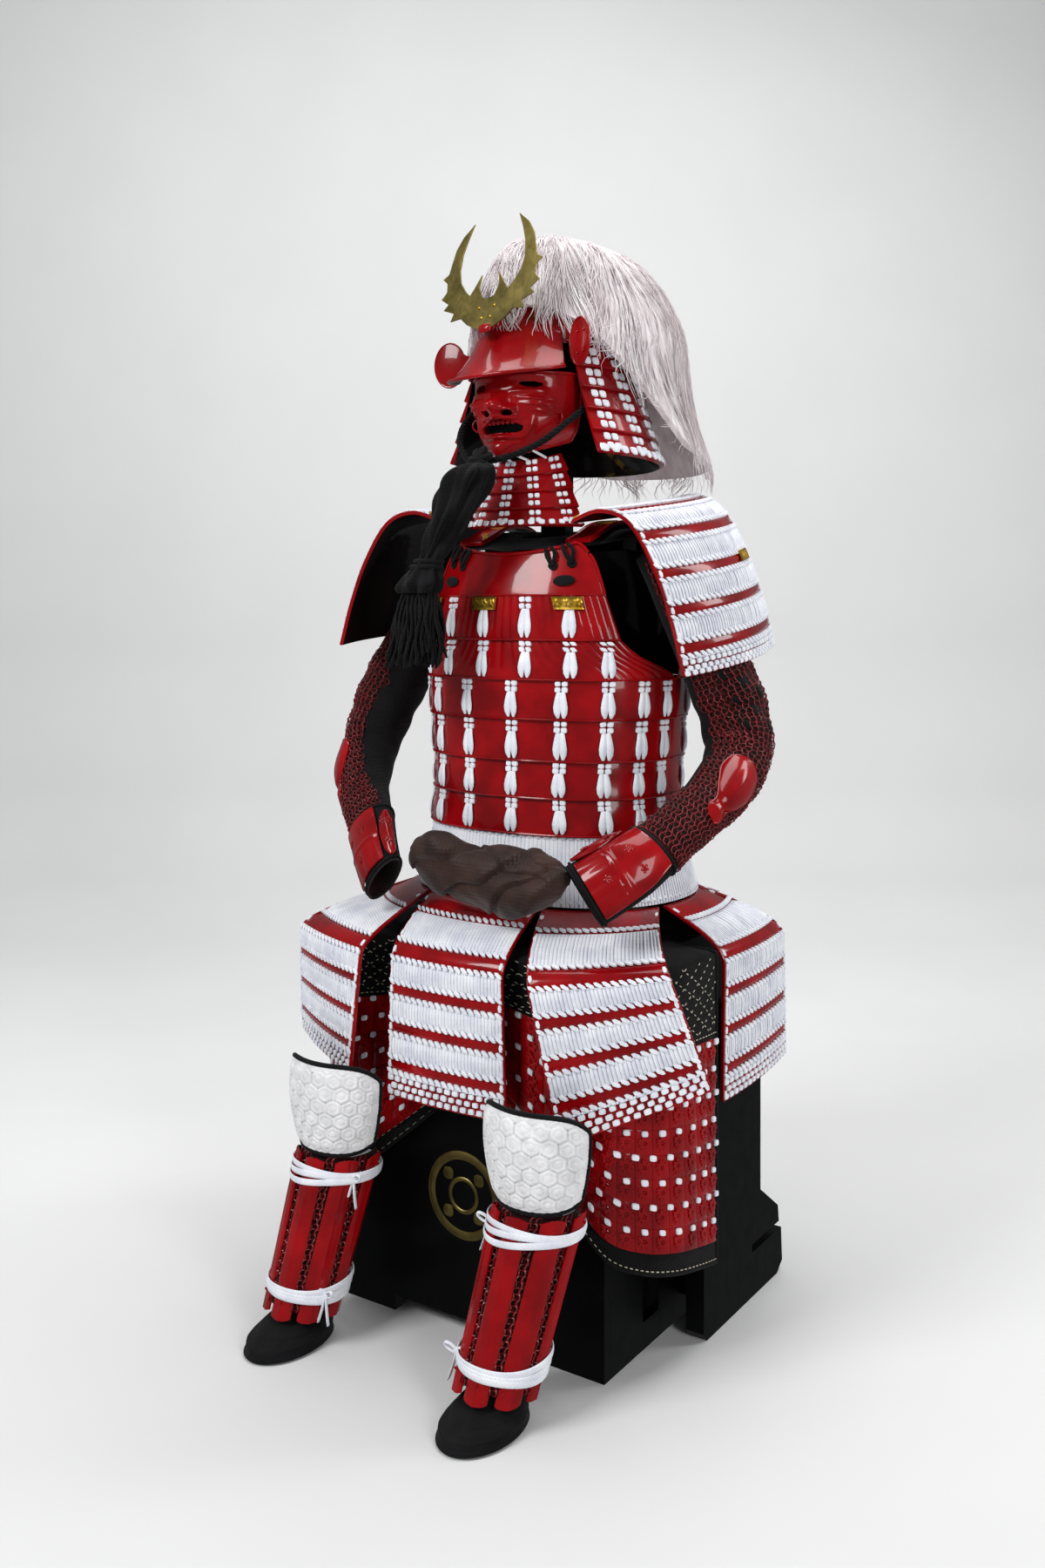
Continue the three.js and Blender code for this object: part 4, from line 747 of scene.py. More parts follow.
TASSETS = {
    # name: first, last angle at the skirt; x, y, facing, twist, half width, fall, skew, tilt
    "front": (-34, 18, -12, -266, 0, 0, 94, 268, 0, 0),
    "front_left": (20, 72, 216, -262, 26, 4, 90, 236, 66, 38),
    "left": (75, 121, 304, 84, 90, 0, 100, 262, 0, 6),
    "back_left": (124, 170, 116, 286, 176, 0, 96, 290, 0, 0),
    "back_right": (174, 220, -116, 286, 184, 0, 96, 290, 0, 0),
    "right": (223, 269, -304, 84, 270, 0, 100, 262, 0, 0),
    "front_right": (272, 324, -226, -262, -18, -10, 92, 232, -28, -6),
}
TASSET_TIERS = 5


def tasset_sheet(row):
    first, last, x, y, face, twist, half, fall, skew, tilt = row

    def base(u, v):
        side = 2 * u - 1
        turn = np.radians(face + twist * v)
        out = vec(np.sin(turn), -np.cos(turn), 0)
        across = vec(np.cos(turn), np.sin(turn), 0)
        plate = np.array([x, y, 0.0]) + across * ((half + 8 * v) * side + skew * v)[..., None] \
            - out * (7 * side**2)[..., None]
        ring = skirt_point(first + (last - first) * u, np.full_like(u, SKIRT_Z))
        swung = np.sin(np.minimum(1, v * 3.4) * math.pi / 2)[..., None]
        point = ring + (plate - ring) * swung
        return point * [1, 1, 0] + vec(0, 0, SKIRT_Z - 3 - fall * v + tilt * side * v)
    facing = np.array([math.sin(math.radians(face)), -math.cos(math.radians(face)), 0.2])
    return Sheet(base, lambda point: point * 0 + facing)


def laced_panel(cloth, sheet, width, tiers, pitch):
    """Dense lacing on a panel: a lacquered band, a plaited row and a fall of cords in each tier,
    then two rows of cross-knots above the lacquered hem."""
    cords = max(8, int(round(width / pitch)))
    start, end = 0.4, 0.94

    def steps(_, v):
        cut = (v * tiers) % 1.0
        return np.where((cut > 0.02) & (cut < 0.27), 0.8 + 2.4 * np.sin(math.pi * (cut - 0.02) / 0.25), 0.4)
    rolled_wall(cloth, sheet, 24, tiers * 8, 3.0, 0, 1, steps)
    # across each cord: its hollow, its shoulders and its crown. The hollow column is drawn in the darker
    # cord, as painted shade between cords
    places = (np.arange(cords)[:, None] + [0, 0.17, 0.5, 0.86]).ravel() / cords
    kinds = np.where(np.arange(cords * 4) % 4 == 0, 3, 2)
    for tier in range(tiers):
        top = (tier + start) / tiers
        bottom = (tier + end) / tiers
        last = tier == tiers - 1
        if last:
            bottom = (tier + 0.46) / tiers
        u, v = np.meshgrid(0.006 + 0.988 * np.append(places, 1.0), [0, 0.12, 0.5, 0.88, 1])
        # each cord hangs a little differently from its neighbour
        which = np.clip((u * cords).astype(int), 0, cords - 1)
        sway = DICE.normal(0, 0.9, cords)[which]
        wave = np.abs(np.sin(math.pi * (u - 0.006) / 0.988 * cords)) ** 0.75
        ends = np.minimum(1, np.minimum(v, 1 - v) * 7)
        rise = 0.9 + (2.4 * wave + 0.4 * sway) * ends + 1.1 * np.sin(math.pi * v)
        fall = (top + (bottom - top) * v
                + np.where(v > 0.99, 0.012 * DICE.uniform(-1, 1, cords)[which] / tiers, 0))
        cloth.grid(sheet.at(u, np.minimum(fall, 0.999), rise), np.broadcast_to(kinds, (4, cords * 4)))
        # plaited row: slanted stitches, one for each pair of cords
        for v_row, tilt in ((tier + 0.36, 0.6), (tier + 0.965, 0.6)):
            if v_row > tiers - 0.5:
                continue
            us = (np.arange(cords // 2) + 0.5) / (cords // 2)
            us = us[us < 0.995]
            point, across, down, normal = sheet.frame(us, v_row / tiers)
            a = across * math.cos(tilt) + down * math.sin(tilt)
            d = down * math.cos(tilt) - across * math.sin(tilt)
            size = (width / cords * 1.45, 3.3, 2.8)
            cloth.beads(point + normal * 3.2, a, d, normal, size, 2, 0.9, (6, 3))
    knots = max(6, int(round(width / 13.0)))
    for place, shift in ((0.53, 0.0), (0.72, 0.5), (0.905, 0.0)):
        us = (np.arange(knots) + 0.5 + shift) / (knots + 0.5)
        us = us[(us > 0.015) & (us < 0.985)]
        cross_knots(cloth, sheet, us, (tiers - 1 + place) / tiers, width / knots * 0.8, 7.9, 2.2)
    for u_edge in (0.004, 0.996):
        course = np.linspace(0.01, 0.995, 40)
        cloth.tube(sheet.at(u_edge, course, 0.8), 2.0, 6, 0)
        ladder = (np.arange(tiers * 3) + 0.5) / (tiers * 3)
        edge = u_edge + (0.016 if u_edge < 0.5 else -0.016)
        point, across, down, normal = sheet.frame(edge, ladder)
        cloth.beads(point + normal * 2.4, across, down, normal, (3.2, 6.0, 2.4), 2, 0.8, (6, 3))
    hem = np.linspace(0.004, 0.996, 40)
    cloth.tube(sheet.at(hem, 0.996, 0.8), 2.2, 6, 0)


def make_tassets(pitch):
    """Lacing apron under the hem, then the seven tassets."""
    apron = Cloth()
    base = lambda u, v: skirt_point(360 * u, HEM_Z - 0.9 - (HEM_Z - 0.9 - SKIRT_Z) * v)
    sheet = Sheet(base, from_torso)
    count = int(2 * math.pi * 175 / pitch)
    u, v = np.meshgrid(np.linspace(0, 1, count * 4 + 1)[:-1], np.linspace(0, 1, 5))
    drape = 1.2 * np.sin(u * 2 * math.pi * 23 + 3 * np.sin(u * 31)) * np.sin(math.pi * v)
    outer = sheet.at(u, v, 0.8 + 2.0 * np.abs(np.sin(math.pi * u * count)) + drape)
    inner = sheet.at(u, v, -1.8 + drape)
    # every fourth column, the hollow between cords, takes the darker cord as painted shade
    shaded_grooves = np.where(np.arange(count * 4) % 4 == 0, 1, 0)
    apron.shell(outer, inner, 0, 0, around=True)
    apron.kinds[0] = np.broadcast_to(shaded_grooves, (4, count * 4)).ravel()
    for v_row in (0.02, 0.93):
        us = (np.arange(count // 2) + 0.5) / (count // 2)
        point, across, down, normal = sheet.frame(us, v_row)
        a = across * 0.85 + down * 0.5
        apron.beads(point + normal * 2.6, a, down, normal, (5.0, 2.6, 2.2), 0, 0.9, (6, 3))
    apron.piece("lacing_apron", chosen("lacing", "hollow"), "lacing", ("lacing_skirt",))
    for name, row in TASSETS.items():
        cloth = Cloth()
        laced_panel(cloth, tasset_sheet(row), 2 * row[6] + 8, TASSET_TIERS, pitch)
        cloth.piece("tasset_laced_" + name, chosen("lacquer", "inside", "lacing", "hollow"), "lacing",
                    ("tasset_" + name,), sharp=50)


SODE_TIERS = 6
SODE_DROP = [(0, 132, 1168), (0.12, 176, 1182), (0.28, 222, 1164), (0.5, 260, 1098), (0.75, 284, 1022),
             (1, 299, 950)]
# side, where the guard's middle lies at its top and hem, how far its rear edge rises, its stretch
SODE = {"left": (1, 28, 62, 20, 1.0), "right": (-1, -20, -36, 12, 0.86)}


def sode_sheet(row):
    side, top_y, low_y, rise, stretch = row

    def base(u, v):
        across = 2 * u - 1
        x = rounded(SODE_DROP, v, 1)
        z = 1168 + (rounded(SODE_DROP, v, 2) - 1168) * stretch
        y = top_y + (low_y - top_y) * v + (142 + 8 * v) * across
        return vec(side * (x - 30 * across**2), y, z + rise * across)
    return Sheet(base, lambda point: point * 0 + [side, 0, 0.6])


def make_sode(pitch):
    for name, row in SODE.items():
        cloth = Cloth()
        sheet = sode_sheet(row)
        laced_panel(cloth, sheet, 300, SODE_TIERS, pitch * 1.08)
        for u in (0.1, 0.37, 0.63, 0.9):
            fitting(cloth, sheet, u, 0.03, 48, 20, 4.4, 4)
        rear = 0.8 if row[0] > 0 else 0.2
        fitting(cloth, sheet, rear, 0.52, 46, 17, 4.6, 4)
        cloth.piece("sode_laced_" + name, chosen("lacquer", "inside", "lacing", "hollow", "gold"), "lacing",
                    ("sode_" + name,), sharp=50)


SLEEVES = {
    # x, y, z of the middle; radius across, radius in depth, roll in degrees
    "left": [(178, 10, 1112, 36, 42, 0), (204, 18, 1060, 40, 48, 0), (239, 36, 970, 41, 52, 0),
             (267, 62, 884, 48, 54, 0), (286, 48, 814, 48, 52, 0), (290, -20, 768, 42, 44, 0),
             (280, -104, 732, 38, 36, -10), (262, -164, 700, 36, 30, -25), (238, -204, 674, 44, 22, -35),
             (200, -240, 644, 46, 18, -35)],
    "right": [(-180, -6, 1112, 36, 42, 0), (-206, -14, 1060, 40, 48, 0), (-240, -30, 970, 42, 52, 0),
              (-290, -40, 884, 48, 54, 0), (-306, -62, 814, 46, 50, 0), (-288, -100, 770, 40, 44, 0),
              (-256, -142, 734, 37, 36, 10), (-214, -180, 706, 36, 30, 25), (-176, -212, 672, 44, 22, 35),
              (-138, -240, 630, 46, 18, 35)],
}


class Sleeve:
    """An arm's course, even in its length, and the oval section round it."""

    def __init__(self, rows):
        table = np.column_stack([np.arange(len(rows)), rows])
        fine = np.linspace(0, len(rows) - 1, 400)
        course = np.stack([rounded(table, fine, axis) for axis in (1, 2, 3)], -1)
        length = np.concatenate([[0], np.cumsum(np.linalg.norm(np.diff(course, axis=0), axis=1))])
        self.share = length / length[-1]
        self.course = course
        self.heading = unit(np.gradient(course, axis=0))
        self.table = table

    def middle(self, v):
        return np.stack([np.interp(v, self.share, self.course[:, axis]) for axis in range(3)], -1)

    def point(self, u, v, lift=0.0):
        heading = unit(np.stack([np.interp(v, self.share, self.heading[:, axis]) for axis in range(3)], -1))
        across = unit(np.array([1.0, 0, 0]) - heading * heading[..., :1])
        deep = np.cross(heading, across)
        key = v * (len(self.table) - 1)
        wide, thick = along(self.table, key, 4) + lift, along(self.table, key, 5) + lift
        roll = np.radians(along(self.table, key, 6))[..., None]
        rolled = across * np.cos(roll) + deep * np.sin(roll)
        out = deep * np.cos(roll) - across * np.sin(roll)
        turn = 2 * math.pi * u
        return (self.middle(v) + rolled * (wide * np.cos(turn))[..., None]
                + out * (thick * np.sin(turn))[..., None])

    def sheet(self, lift=0.0, creases=0.0):
        def base(u, v):
            ripple = creases * np.sin(v * 75 + 2.4 * np.sin(2 * math.pi * u)) * bump(v, 0.42, 0.22)
            ripple = ripple + 0.5 * creases * np.sin(v * 46 + 4 * math.pi * u) * bump(v, 0.7, 0.25)
            return self.point(u, v, lift + ripple)
        return Sheet(base, lambda point: point - self.middle(self.nearest(point)))

    def nearest(self, point):
        flat = point.reshape(-1, 3)
        away = ((flat[:, None] - self.course[None, ::8]) ** 2).sum(-1)
        return self.share[::8][away.argmin(1)].reshape(point.shape[:-1])


PLATES = [
    # name, lift, dome, where round the sleeve (left, right), outline of share and half width in turns
    ("forearm_plate", 4.2, 7, (0.09, 0.41),
     [(0.545, 0.03), (0.56, 0.09), (0.6, 0.12), (0.645, 0.09), (0.68, 0.05), (0.705, 0.06), (0.72, 0.03)]),
    ("hand_plate", 4.4, 5, (0.24, 0.26), [(0.84, 0.14), (0.88, 0.15), (0.94, 0.15), (0.985, 0.15)]),
    ("thumb_plate", 4.2, 5, (0.465, 0.035),
     [(0.86, 0.015), (0.885, 0.045), (0.93, 0.055), (0.97, 0.04), (0.985, 0.015)]),
]


# how far a normal may turn to the body before the mail gives way to bare cloth
INNER_SIDE = 0.3


def mail_rings(cloth, sheet, around_mm, length_mm, first, last, pitch, inner=0, seen=None):
    """Interlinked rings in staggered rows, each leaning on its neighbour.
    An arm has none on its inner side."""
    rows = int(length_mm * (last - first) / (pitch * 0.86))
    columns = int(around_mm / pitch)
    u, v = np.meshgrid(np.arange(columns) / columns, np.linspace(first, last, rows))
    u = (u + (np.arange(rows) % 2)[:, None] * 0.5 / columns) % 1.0
    point, across, down, normal = sheet.frame(u.ravel(), v.ravel())
    lean = (np.tile((np.arange(rows) % 2)[:, None], (1, columns)).ravel() * 2 - 1)[:, None] * 0.55
    kept = (normal[:, 0] * inner < INNER_SIDE) & (True if seen is None else seen(u.ravel()))
    point, across, down, normal, lean = (a[kept] for a in (point, across, down, normal, lean))
    lean = lean + DICE.normal(0, 0.12, lean.shape)
    side = across * np.cos(lean) + normal * np.sin(lean)
    up = normal * np.cos(lean) - across * np.sin(lean)
    sides, thick = 6, 3
    turn = np.linspace(0, 2 * math.pi, sides, endpoint=False)
    tube = np.linspace(0, 2 * math.pi, thick, endpoint=False)
    reach = pitch * 0.56 + 0.95 * np.cos(tube)[None, :]
    shape = np.stack([reach * np.cos(turn)[:, None], reach * np.sin(turn)[:, None],
                      np.broadcast_to(0.95 * np.sin(tube), (sides, thick))], -1).reshape(-1, 3)
    centre = point + normal * 2.0
    points = (centre[:, None] + np.einsum("k,nc->nkc", shape[:, 0], side)
              + np.einsum("k,nc->nkc", shape[:, 1], down) + np.einsum("k,nc->nkc", shape[:, 2], up))
    quads = []
    for a in range(sides):
        for b in range(thick):
            c, d = (a + 1) % sides, (b + 1) % thick
            quads.append([a * thick + b, c * thick + b, c * thick + d, a * thick + d])
    faces = np.array(quads)[None] + (np.arange(len(centre)) * len(shape))[:, None, None]
    cloth.add(points, faces.reshape(-1, 4), 1)


def square_patches(cloth, sheet, side):
    """Black squares of hide let into the mail of the upper arm, in a loose chequer."""
    middle = 0.02 if side > 0 else 0.48
    for row in range(6):
        for column in range(4):
            if (row + column) % 2:
                continue
            centre_u = middle + (column - 1.5) * 0.075
            centre_v = 0.25 + row * 0.036
            s, t = grid_of(4, 4)
            u = centre_u + (s - 0.5) * 0.05
            v = centre_v + (t - 0.5) * 0.026
            edge = np.minimum(np.minimum(s, 1 - s), np.minimum(t, 1 - t)) > 0.1
            cloth.shell(sheet.at(u, v, 3.2 + 1.4 * edge), sheet.at(u, v, 0.5), 2)


def plate_outline(outline):
    """Turns u and v on a plate into a turn and a share of the sleeve."""
    first, last = outline[0][0], outline[-1][0]

    def spot(u, v, middle):
        share = first + (last - first) * v
        return middle + rounded(outline, share) * (2 * u - 1), share
    return spot


def arm_plates(sleeve, name):
    """Lacquered plates tied on the sleeve: forearm, back of the hand and thumb."""
    at_left = name == "left"
    for plate, lift, dome, middles, outline in PLATES:
        cloth = Cloth()
        spot = plate_outline(outline)
        middle = middles[0] if at_left else middles[1]
        sheet = sleeve.sheet(lift)
        u, v = grid_of(30, 44)
        uu, vv = spot(u, v, middle)
        rise = dome * np.sin(math.pi * u) ** 0.8 * np.sin(math.pi * np.clip(v * 0.9 + 0.05, 0, 1))
        if plate == "forearm_plate":
            rise = rise - 3.0 * bump(v, 0.78, 0.1) + 2.2 * bump(u, 0.5, 0.12) * bump(v, 0.4, 0.4)
        if plate == "hand_plate":
            rise = rise + 2.0 * bump(v, 0.55, 0.05) + 1.6 * np.abs(np.sin(4 * math.pi * u)) * (v > 0.6)
        cloth.shell(sheet.at(uu, vv, rise + 1.0), sheet.at(uu, vv, rise - 1.6), 0, 1)
        edge = np.concatenate([np.stack([np.full(20, 0.01), np.linspace(0.01, 0.99, 20)]),
                               np.stack([np.linspace(0.01, 0.99, 14), np.full(14, 0.99)]),
                               np.stack([np.full(20, 0.99), np.linspace(0.99, 0.01, 20)]),
                               np.stack([np.linspace(0.99, 0.01, 14), np.full(14, 0.01)])], axis=1)
        eu, ev = spot(edge[0], edge[1], middle)
        cloth.tube(sheet.at(eu, ev, 0.9), 1.4, 6, 0, loop=True)
        if plate != "forearm_plate":
            for place_u, place_v in ((0.32, 0.3), (0.68, 0.3), (0.5, 0.72)):
                bu, bv = spot(np.array(place_u), np.array(place_v), middle)
                point, across, down, normal = sheet.frame(bu, bv)
                top = point + normal * (float(dome) * math.sin(math.pi * place_u) * 0.92 + 1.0)
                for petal in range(5):
                    turn = 2 * math.pi * petal / 5
                    way = across * math.cos(turn) + down * math.sin(turn)
                    cloth.beads(top + way * 3.6, way, np.cross(normal, way), normal, (2.9, 2.2, 1.0), 0)
                cloth.beads(top, across, down, normal, (1.5, 1.5, 1.3), 0)
        cloth.piece(f"{plate}_lacquered_{name}", chosen("lacquer", "inside"), "lacquer",
                    (f"{plate}_{name}",), sharp=45)


def make_sleeves(ring):
    for name, rows in SLEEVES.items():
        sleeve = Sleeve(rows)
        inner = -1 if name == "left" else 1
        sheet = sleeve.sheet(0.0, 1.5)
        u, v = grid_of(44, 72)
        u, v = u[:, :-1], v[:, :-1]
        ground = Cloth()
        ground.shell(sheet.at(u, v, 0.6), sheet.at(u, v, -1.4), 0, 0, around=True)
        faces_body = sheet.frame(u[:-1], v[:-1])[3][..., 0] * inner >= INNER_SIDE
        ground.kinds[0] = np.where(faces_body | (v[:-1] > 0.83), 1, 0).ravel()
        base = ground.piece("sleeve_cloth_" + name, chosen("ground", "cloth"), "mail", ("sleeve_" + name,),
                            welded=True)
        cloth = Cloth()
        mail_rings(cloth, sheet, 285, 640, 0.03, 0.82, ring, inner)
        square_patches(cloth, sheet, 1 if name == "left" else -1)
        for place, thick in ((0.835, 2.6), (0.99, 2.4)):
            turn = np.linspace(0, 1, 49)[:-1]
            cloth.tube(sheet.at(turn, place, 1.4), thick, 8, 2, loop=True)
        inner_hand = np.linspace(0.83, 0.985, 10)
        for turn in (0.62, 0.75, 0.88):
            cloth.tube(sheet.at(turn, inner_hand, 1.2), 1.3, 6, 2)
        mail = cloth.piece("sleeve_mail_" + name, chosen("ground", "mail", "cloth"), "mail")
        flat, area = cut_of(sheet)
        arm_plates(sleeve, name)


def head_turned(point):
    c, s = math.cos(HEAD_TURN), math.sin(HEAD_TURN)
    return np.stack([point[..., 0] * c - point[..., 1] * s, point[..., 0] * s + point[..., 1] * c,
                     point[..., 2]], -1)


def round_head(angle, half_width, half_depth, z):
    turn = np.radians(angle)
    return head_turned(vec(half_width * np.sin(turn), -half_depth * np.cos(turn), z))


def from_head(point):
    return point * [1, 1, 0]


PEAK_REACH = 52.0


def peak_base(u, v):
    side = 2 * u - 1
    forward = np.cos(np.radians(PEAK_REACH * side)) ** 1.5
    out = 4.4 + 9 * v + 46 * forward * v**2
    top = CREST_BOTTOM_Z + 18 * (1 - side**2)
    bottom = 1358 + 14 * side**2
    return round_head(PEAK_REACH * side, BOWL_HALF_WIDTH + out, BOWL_HALF_DEPTH + out,
                      top + (bottom - top) * v)


def neck_base(u, v):
    left, right = 59.5 + 9 * v, 53.5 + 9 * v
    angle = left + (360 - left - right) * u
    out = 9 + 42 * np.maximum(v, 0) ** 1.2
    lift = 6 * np.cos(np.radians(angle)) * v
    return round_head(angle, BOWL_HALF_WIDTH + out, BOWL_HALF_DEPTH + 4 + out, 1406 + lift - 160 * v)


def throat_base(u, v):
    turn = np.radians(72 * (2 * u - 1))
    top = THROAT_TOP_Z + 12 * (2 * u - 1) ** 2
    z = top + (THROAT_HEM_Z - top) * v
    return vec((58 + 44 * v) * np.sin(turn), -46 - (66 + 22 * v) * np.cos(turn), z)


def lamed_guard(cloth, sheet, tiers, columns, knot, hem_knots):
    """A guard of flaring lames: each steps out to its lower edge, with pairs of short cords."""
    def steps(v):
        return 5 * np.where(v < 1, (v * tiers) % 1.0, 1.0)
    u, _ = grid_of(72, 1)
    cuts = [0, 0.12, 0.5, 0.93, 0.985]
    vs = [(tier + cut) / tiers for tier in range(tiers) for cut in cuts] + [0.9999]
    uu, vv = np.meshgrid(u[0], vs)
    cloth.shell(sheet.at(uu, vv, steps(vv) + 1.2), sheet.at(uu, vv, -1.6), 0, 1)
    rim = np.linspace(0.004, 0.996, 90)
    for tier in range(tiers):
        cloth.tube(sheet.at(rim, (tier + 0.95) / tiers, 5.6), 1.5, 6, 0)
        last = tier == tiers - 1
        us = (np.arange(columns) + 0.5) / columns
        for place, lift in ((0.24, 3.6), (0.7, 5.6)):
            point, across, down, normal = sheet.frame(us, (tier + place) / tiers)
            for side in (-1, 1):
                cloth.beads(point + normal * lift + across * side * knot * 0.5, across, down, normal,
                            (knot * 0.43, knot * 0.42, 2.6), 2, 0.55, (8, 4))
        if last and hem_knots:
            spots = (np.arange(hem_knots) + 0.5) / hem_knots
            cross_knots(cloth, sheet, spots, (tier + 0.82) / tiers, knot * 1.05, knot * 0.9, 6.2)


def make_helmet():
    """Bowl with standing ridges, front plate and peak, turned-back ears, neck guard."""
    bowl = Cloth()
    def dome(u, v):
        rise = np.radians(83 * (1 - v))
        return round_head(360 * u, BOWL_HALF_WIDTH * np.cos(rise), BOWL_HALF_DEPTH * np.cos(rise),
                          BOWL_Z + BOWL_HEIGHT * np.sin(rise))
    out = lambda point: point - [0, 0, BOWL_Z]
    sheet = Sheet(dome, out)
    u, v = grid_of(160, 12)
    u, v = u[:, :-1], v[:, :-1]
    ridge = 1.6 * np.abs(np.cos(math.pi * u * 20)) ** 10 * np.clip(v * 3, 0, 1)
    bowl.shell(sheet.at(u, v, ridge), sheet.at(u, v, -3), 0, 1, around=True)
    turn = np.linspace(0, 1, 73)[:-1]
    bowl.tube(sheet.at(turn, 0.985, 0.8), 2.6, 8, 0, loop=True)
    bowl.piece("helmet_bowl_ridged", chosen("lacquer", "inside"), "lacquer", ("helmet_bowl",), sharp=50)

    peak = Cloth()
    sheet = Sheet(peak_base, from_head)
    rolled_wall(peak, sheet, 64, 18, 2.8, profile=lambda u, v: 1.0 * bump(v, 0.06, 0.05))
    rim = np.linspace(0.003, 0.997, 80)
    peak.tube(sheet.at(rim, 0.995, 0.2), 3.0, 8, 0)
    # socket of the crest: a small lacquered box on the front plate that its foot drops into
    point, across, _, _ = sheet.frame(np.array(0.5), np.array(0.02))
    foot = head_turned(np.array([0.0, -147.0, CREST_BOTTOM_Z + 3]))
    for share in (0.0, 0.33, 0.66, 1.0):
        middle = point + (foot - point) * share
        peak.beads(middle, across, np.array([0.0, 0, 1.0]), unit(foot - point),
                   (17 - 4 * share, 9 - 2 * share, 7), 0, 0.45)
    peak.piece("helmet_peak_rolled", chosen("lacquer", "inside"), "lacquer", ("helmet_peak",), sharp=50)

    guard = Cloth()
    sheet = Sheet(neck_base, from_head)
    lamed_guard(guard, sheet, 5, 12, 14.0, 38)
    top = np.linspace(0.0, 1.0, 80)
    ring = sheet.at(top, 0.0, 0.0)
    inner = round_head(59.5 + 247 * top, BOWL_HALF_WIDTH + 1.5, BOWL_HALF_DEPTH + 1.5, np.full(80, 1414.0))
    guard.shell(np.stack([inner, ring + [0, 0, 2.0]]), np.stack([inner - [0, 0, 2.5], ring - [0, 0, 2.0]]), 0)
    guard.piece("neck_guard_laced", chosen("lacquer", "inside", "lacing"), "lacquer", ("neck_guard",),
                sharp=45)
    for side, name in SIDES:
        make_turnback(side, name)
    make_crest()


def make_turnback(side, name):
    """Ear plate that turns back from the neck guard: a dished round with a rolled rim."""
    splay = math.radians(18)
    across = head_turned(np.array([side * math.cos(splay), -math.sin(splay), 0.0]))
    up = np.array([0.0, 0, 1.0])
    out = np.cross(across, up)
    centre = head_turned(np.array([side * 119.0, -84.0, 1404.0])) + across * 22
    cloth = Cloth()
    turn, radius = np.meshgrid(np.linspace(0, 2 * math.pi, 49)[:-1], np.linspace(0.02, 1, 10))
    local = lambda x, y, z: centre + across * np.asarray(x)[..., None] + up * np.asarray(y)[..., None] \
        + out * (np.asarray(z)[..., None] + 1.5)
    dish = 3.2 * radius**2
    x, y = 26 * radius * np.cos(turn), 34 * radius * np.sin(turn)
    cloth.shell(local(x, y, dish + 1), local(x, y, dish - 1), 0, 0, around=True)
    rim = np.linspace(0, 2 * math.pi, 49)[:-1]
    cloth.tube(local(26 * np.cos(rim), 34 * np.sin(rim), 3.4 + 0 * rim), 1.9, 8, 0, loop=True)
    for turn_at in (0.9, 2.2, 4.1, 5.4):
        spot = local(np.array(14 * math.cos(turn_at)), np.array(19 * math.sin(turn_at)), np.array(3.0))
        cloth.beads(spot, across, up, out, (2.2, 2.2, 1.4), 0)
    # the root runs back to the neck guard's front edge as one bent plate
    guard = neck_base(np.array(0.004 if side > 0 else 0.996), np.array(0.06))
    s, t = grid_of(10, 16)
    start = local(-22 + 0 * s, (s - 0.5) * 44, 3 + 0 * s)
    end = guard + up * ((s - 0.5) * 30)[..., None]
    bend = from_head(guard)[None, None] * 0.0 + across * (7 * np.sin(math.pi * t))[..., None]
    sheet = start * (1 - t)[..., None] + end * t[..., None] + bend
    side_way = unit(np.cross(end[0, 0] - start[0, 0], up))
    cloth.shell(sheet + side_way * 1.1, sheet - side_way * 1.1, 0)
    cloth.piece("turnback_dished_" + name, chosen("lacquer"), "lacquer", ("turnback_" + name,), sharp=45)


CREST_HALF = [
    (0, 0), (15, 3), (30, 12), (42, 24), (58, 22), (54, 34), (72, 42), (65, 50), (78, 60), (70, 70),
    (71, 84), (79, 92), (70, 98), (67, 112), (62, 134), (52, 152), (36, 168), (44, 146), (50, 124),
    (52, 100), (48, 80), (38, 64), (30, 56), (24, 66), (14, 84), (16, 66), (10, 50), (0, 46),
]


def make_crest():
    """Horned crest cut from brass sheet, its edges eased and its foot riveted."""
    half = [(across * 1.3, up) for across, up in CREST_HALF]
    outline = half + [(-across, up) for across, up in half[1:-1][::-1]]
    lean = math.radians(9)
    up = head_turned(np.array([0.0, math.sin(lean), math.cos(lean)]))
    across = head_turned(np.array([1.0, 0.0, 0.0]))
    out = np.cross(across, up)
    foot = head_turned(np.array([0.0, -148.0, CREST_BOTTOM_Z]))
    curve = bpy.data.curves.new("crest_outline", "CURVE")
    curve.dimensions = "2D"
    curve.fill_mode = "BOTH"
    curve.extrude = 0.0007
    curve.bevel_depth = 0.0003
    spline = curve.splines.new("POLY")
    spline.points.add(len(outline) - 1)
    for point, (x, y) in zip(spline.points, outline):
        point.co = (x / 1000, y / 1000, 0, 1)
    spline.use_cyclic_u = True
    flat = bpy.data.objects.new("crest_outline", curve)
    bpy.context.scene.collection.objects.link(flat)
    bpy.context.view_layer.update()
    mesh = bpy.data.meshes.new_from_object(flat.evaluated_get(bpy.context.evaluated_depsgraph_get()))
    bpy.data.objects.remove(flat)
    basis = Matrix([[float(c) for c in row] for row in zip(across, up, out)]).to_4x4()
    basis.translation = Vector(foot / 1000 + SHIFT + out * 0.001)
    mesh.transform(basis)
    mesh.materials.clear()
    mesh.materials.append(MATERIALS["gilt"])
    crest = bpy.data.objects.new("crest_plate", mesh)
    bpy.context.scene.collection.objects.link(crest)
    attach(crest, "root")
    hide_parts("crest_horns")
    sharpened(crest, 30)
    studs = Cloth()
    for x, y in ((-16, 34), (16, 34), (-9, 18), (9, 18)):
        centre = foot + across * x + up * y + out * 1.8
        studs.beads(centre, across, up, out, (2.6, 2.6, 1.6), 0)
    studs.piece("crest_rivets", chosen("gold"), "brass")


MANE_REACH = [(0, 0.75), (45, 0.8), (70, 0.94), (95, 1.3), (118, 1.85), (150, 2), (180, 2)]


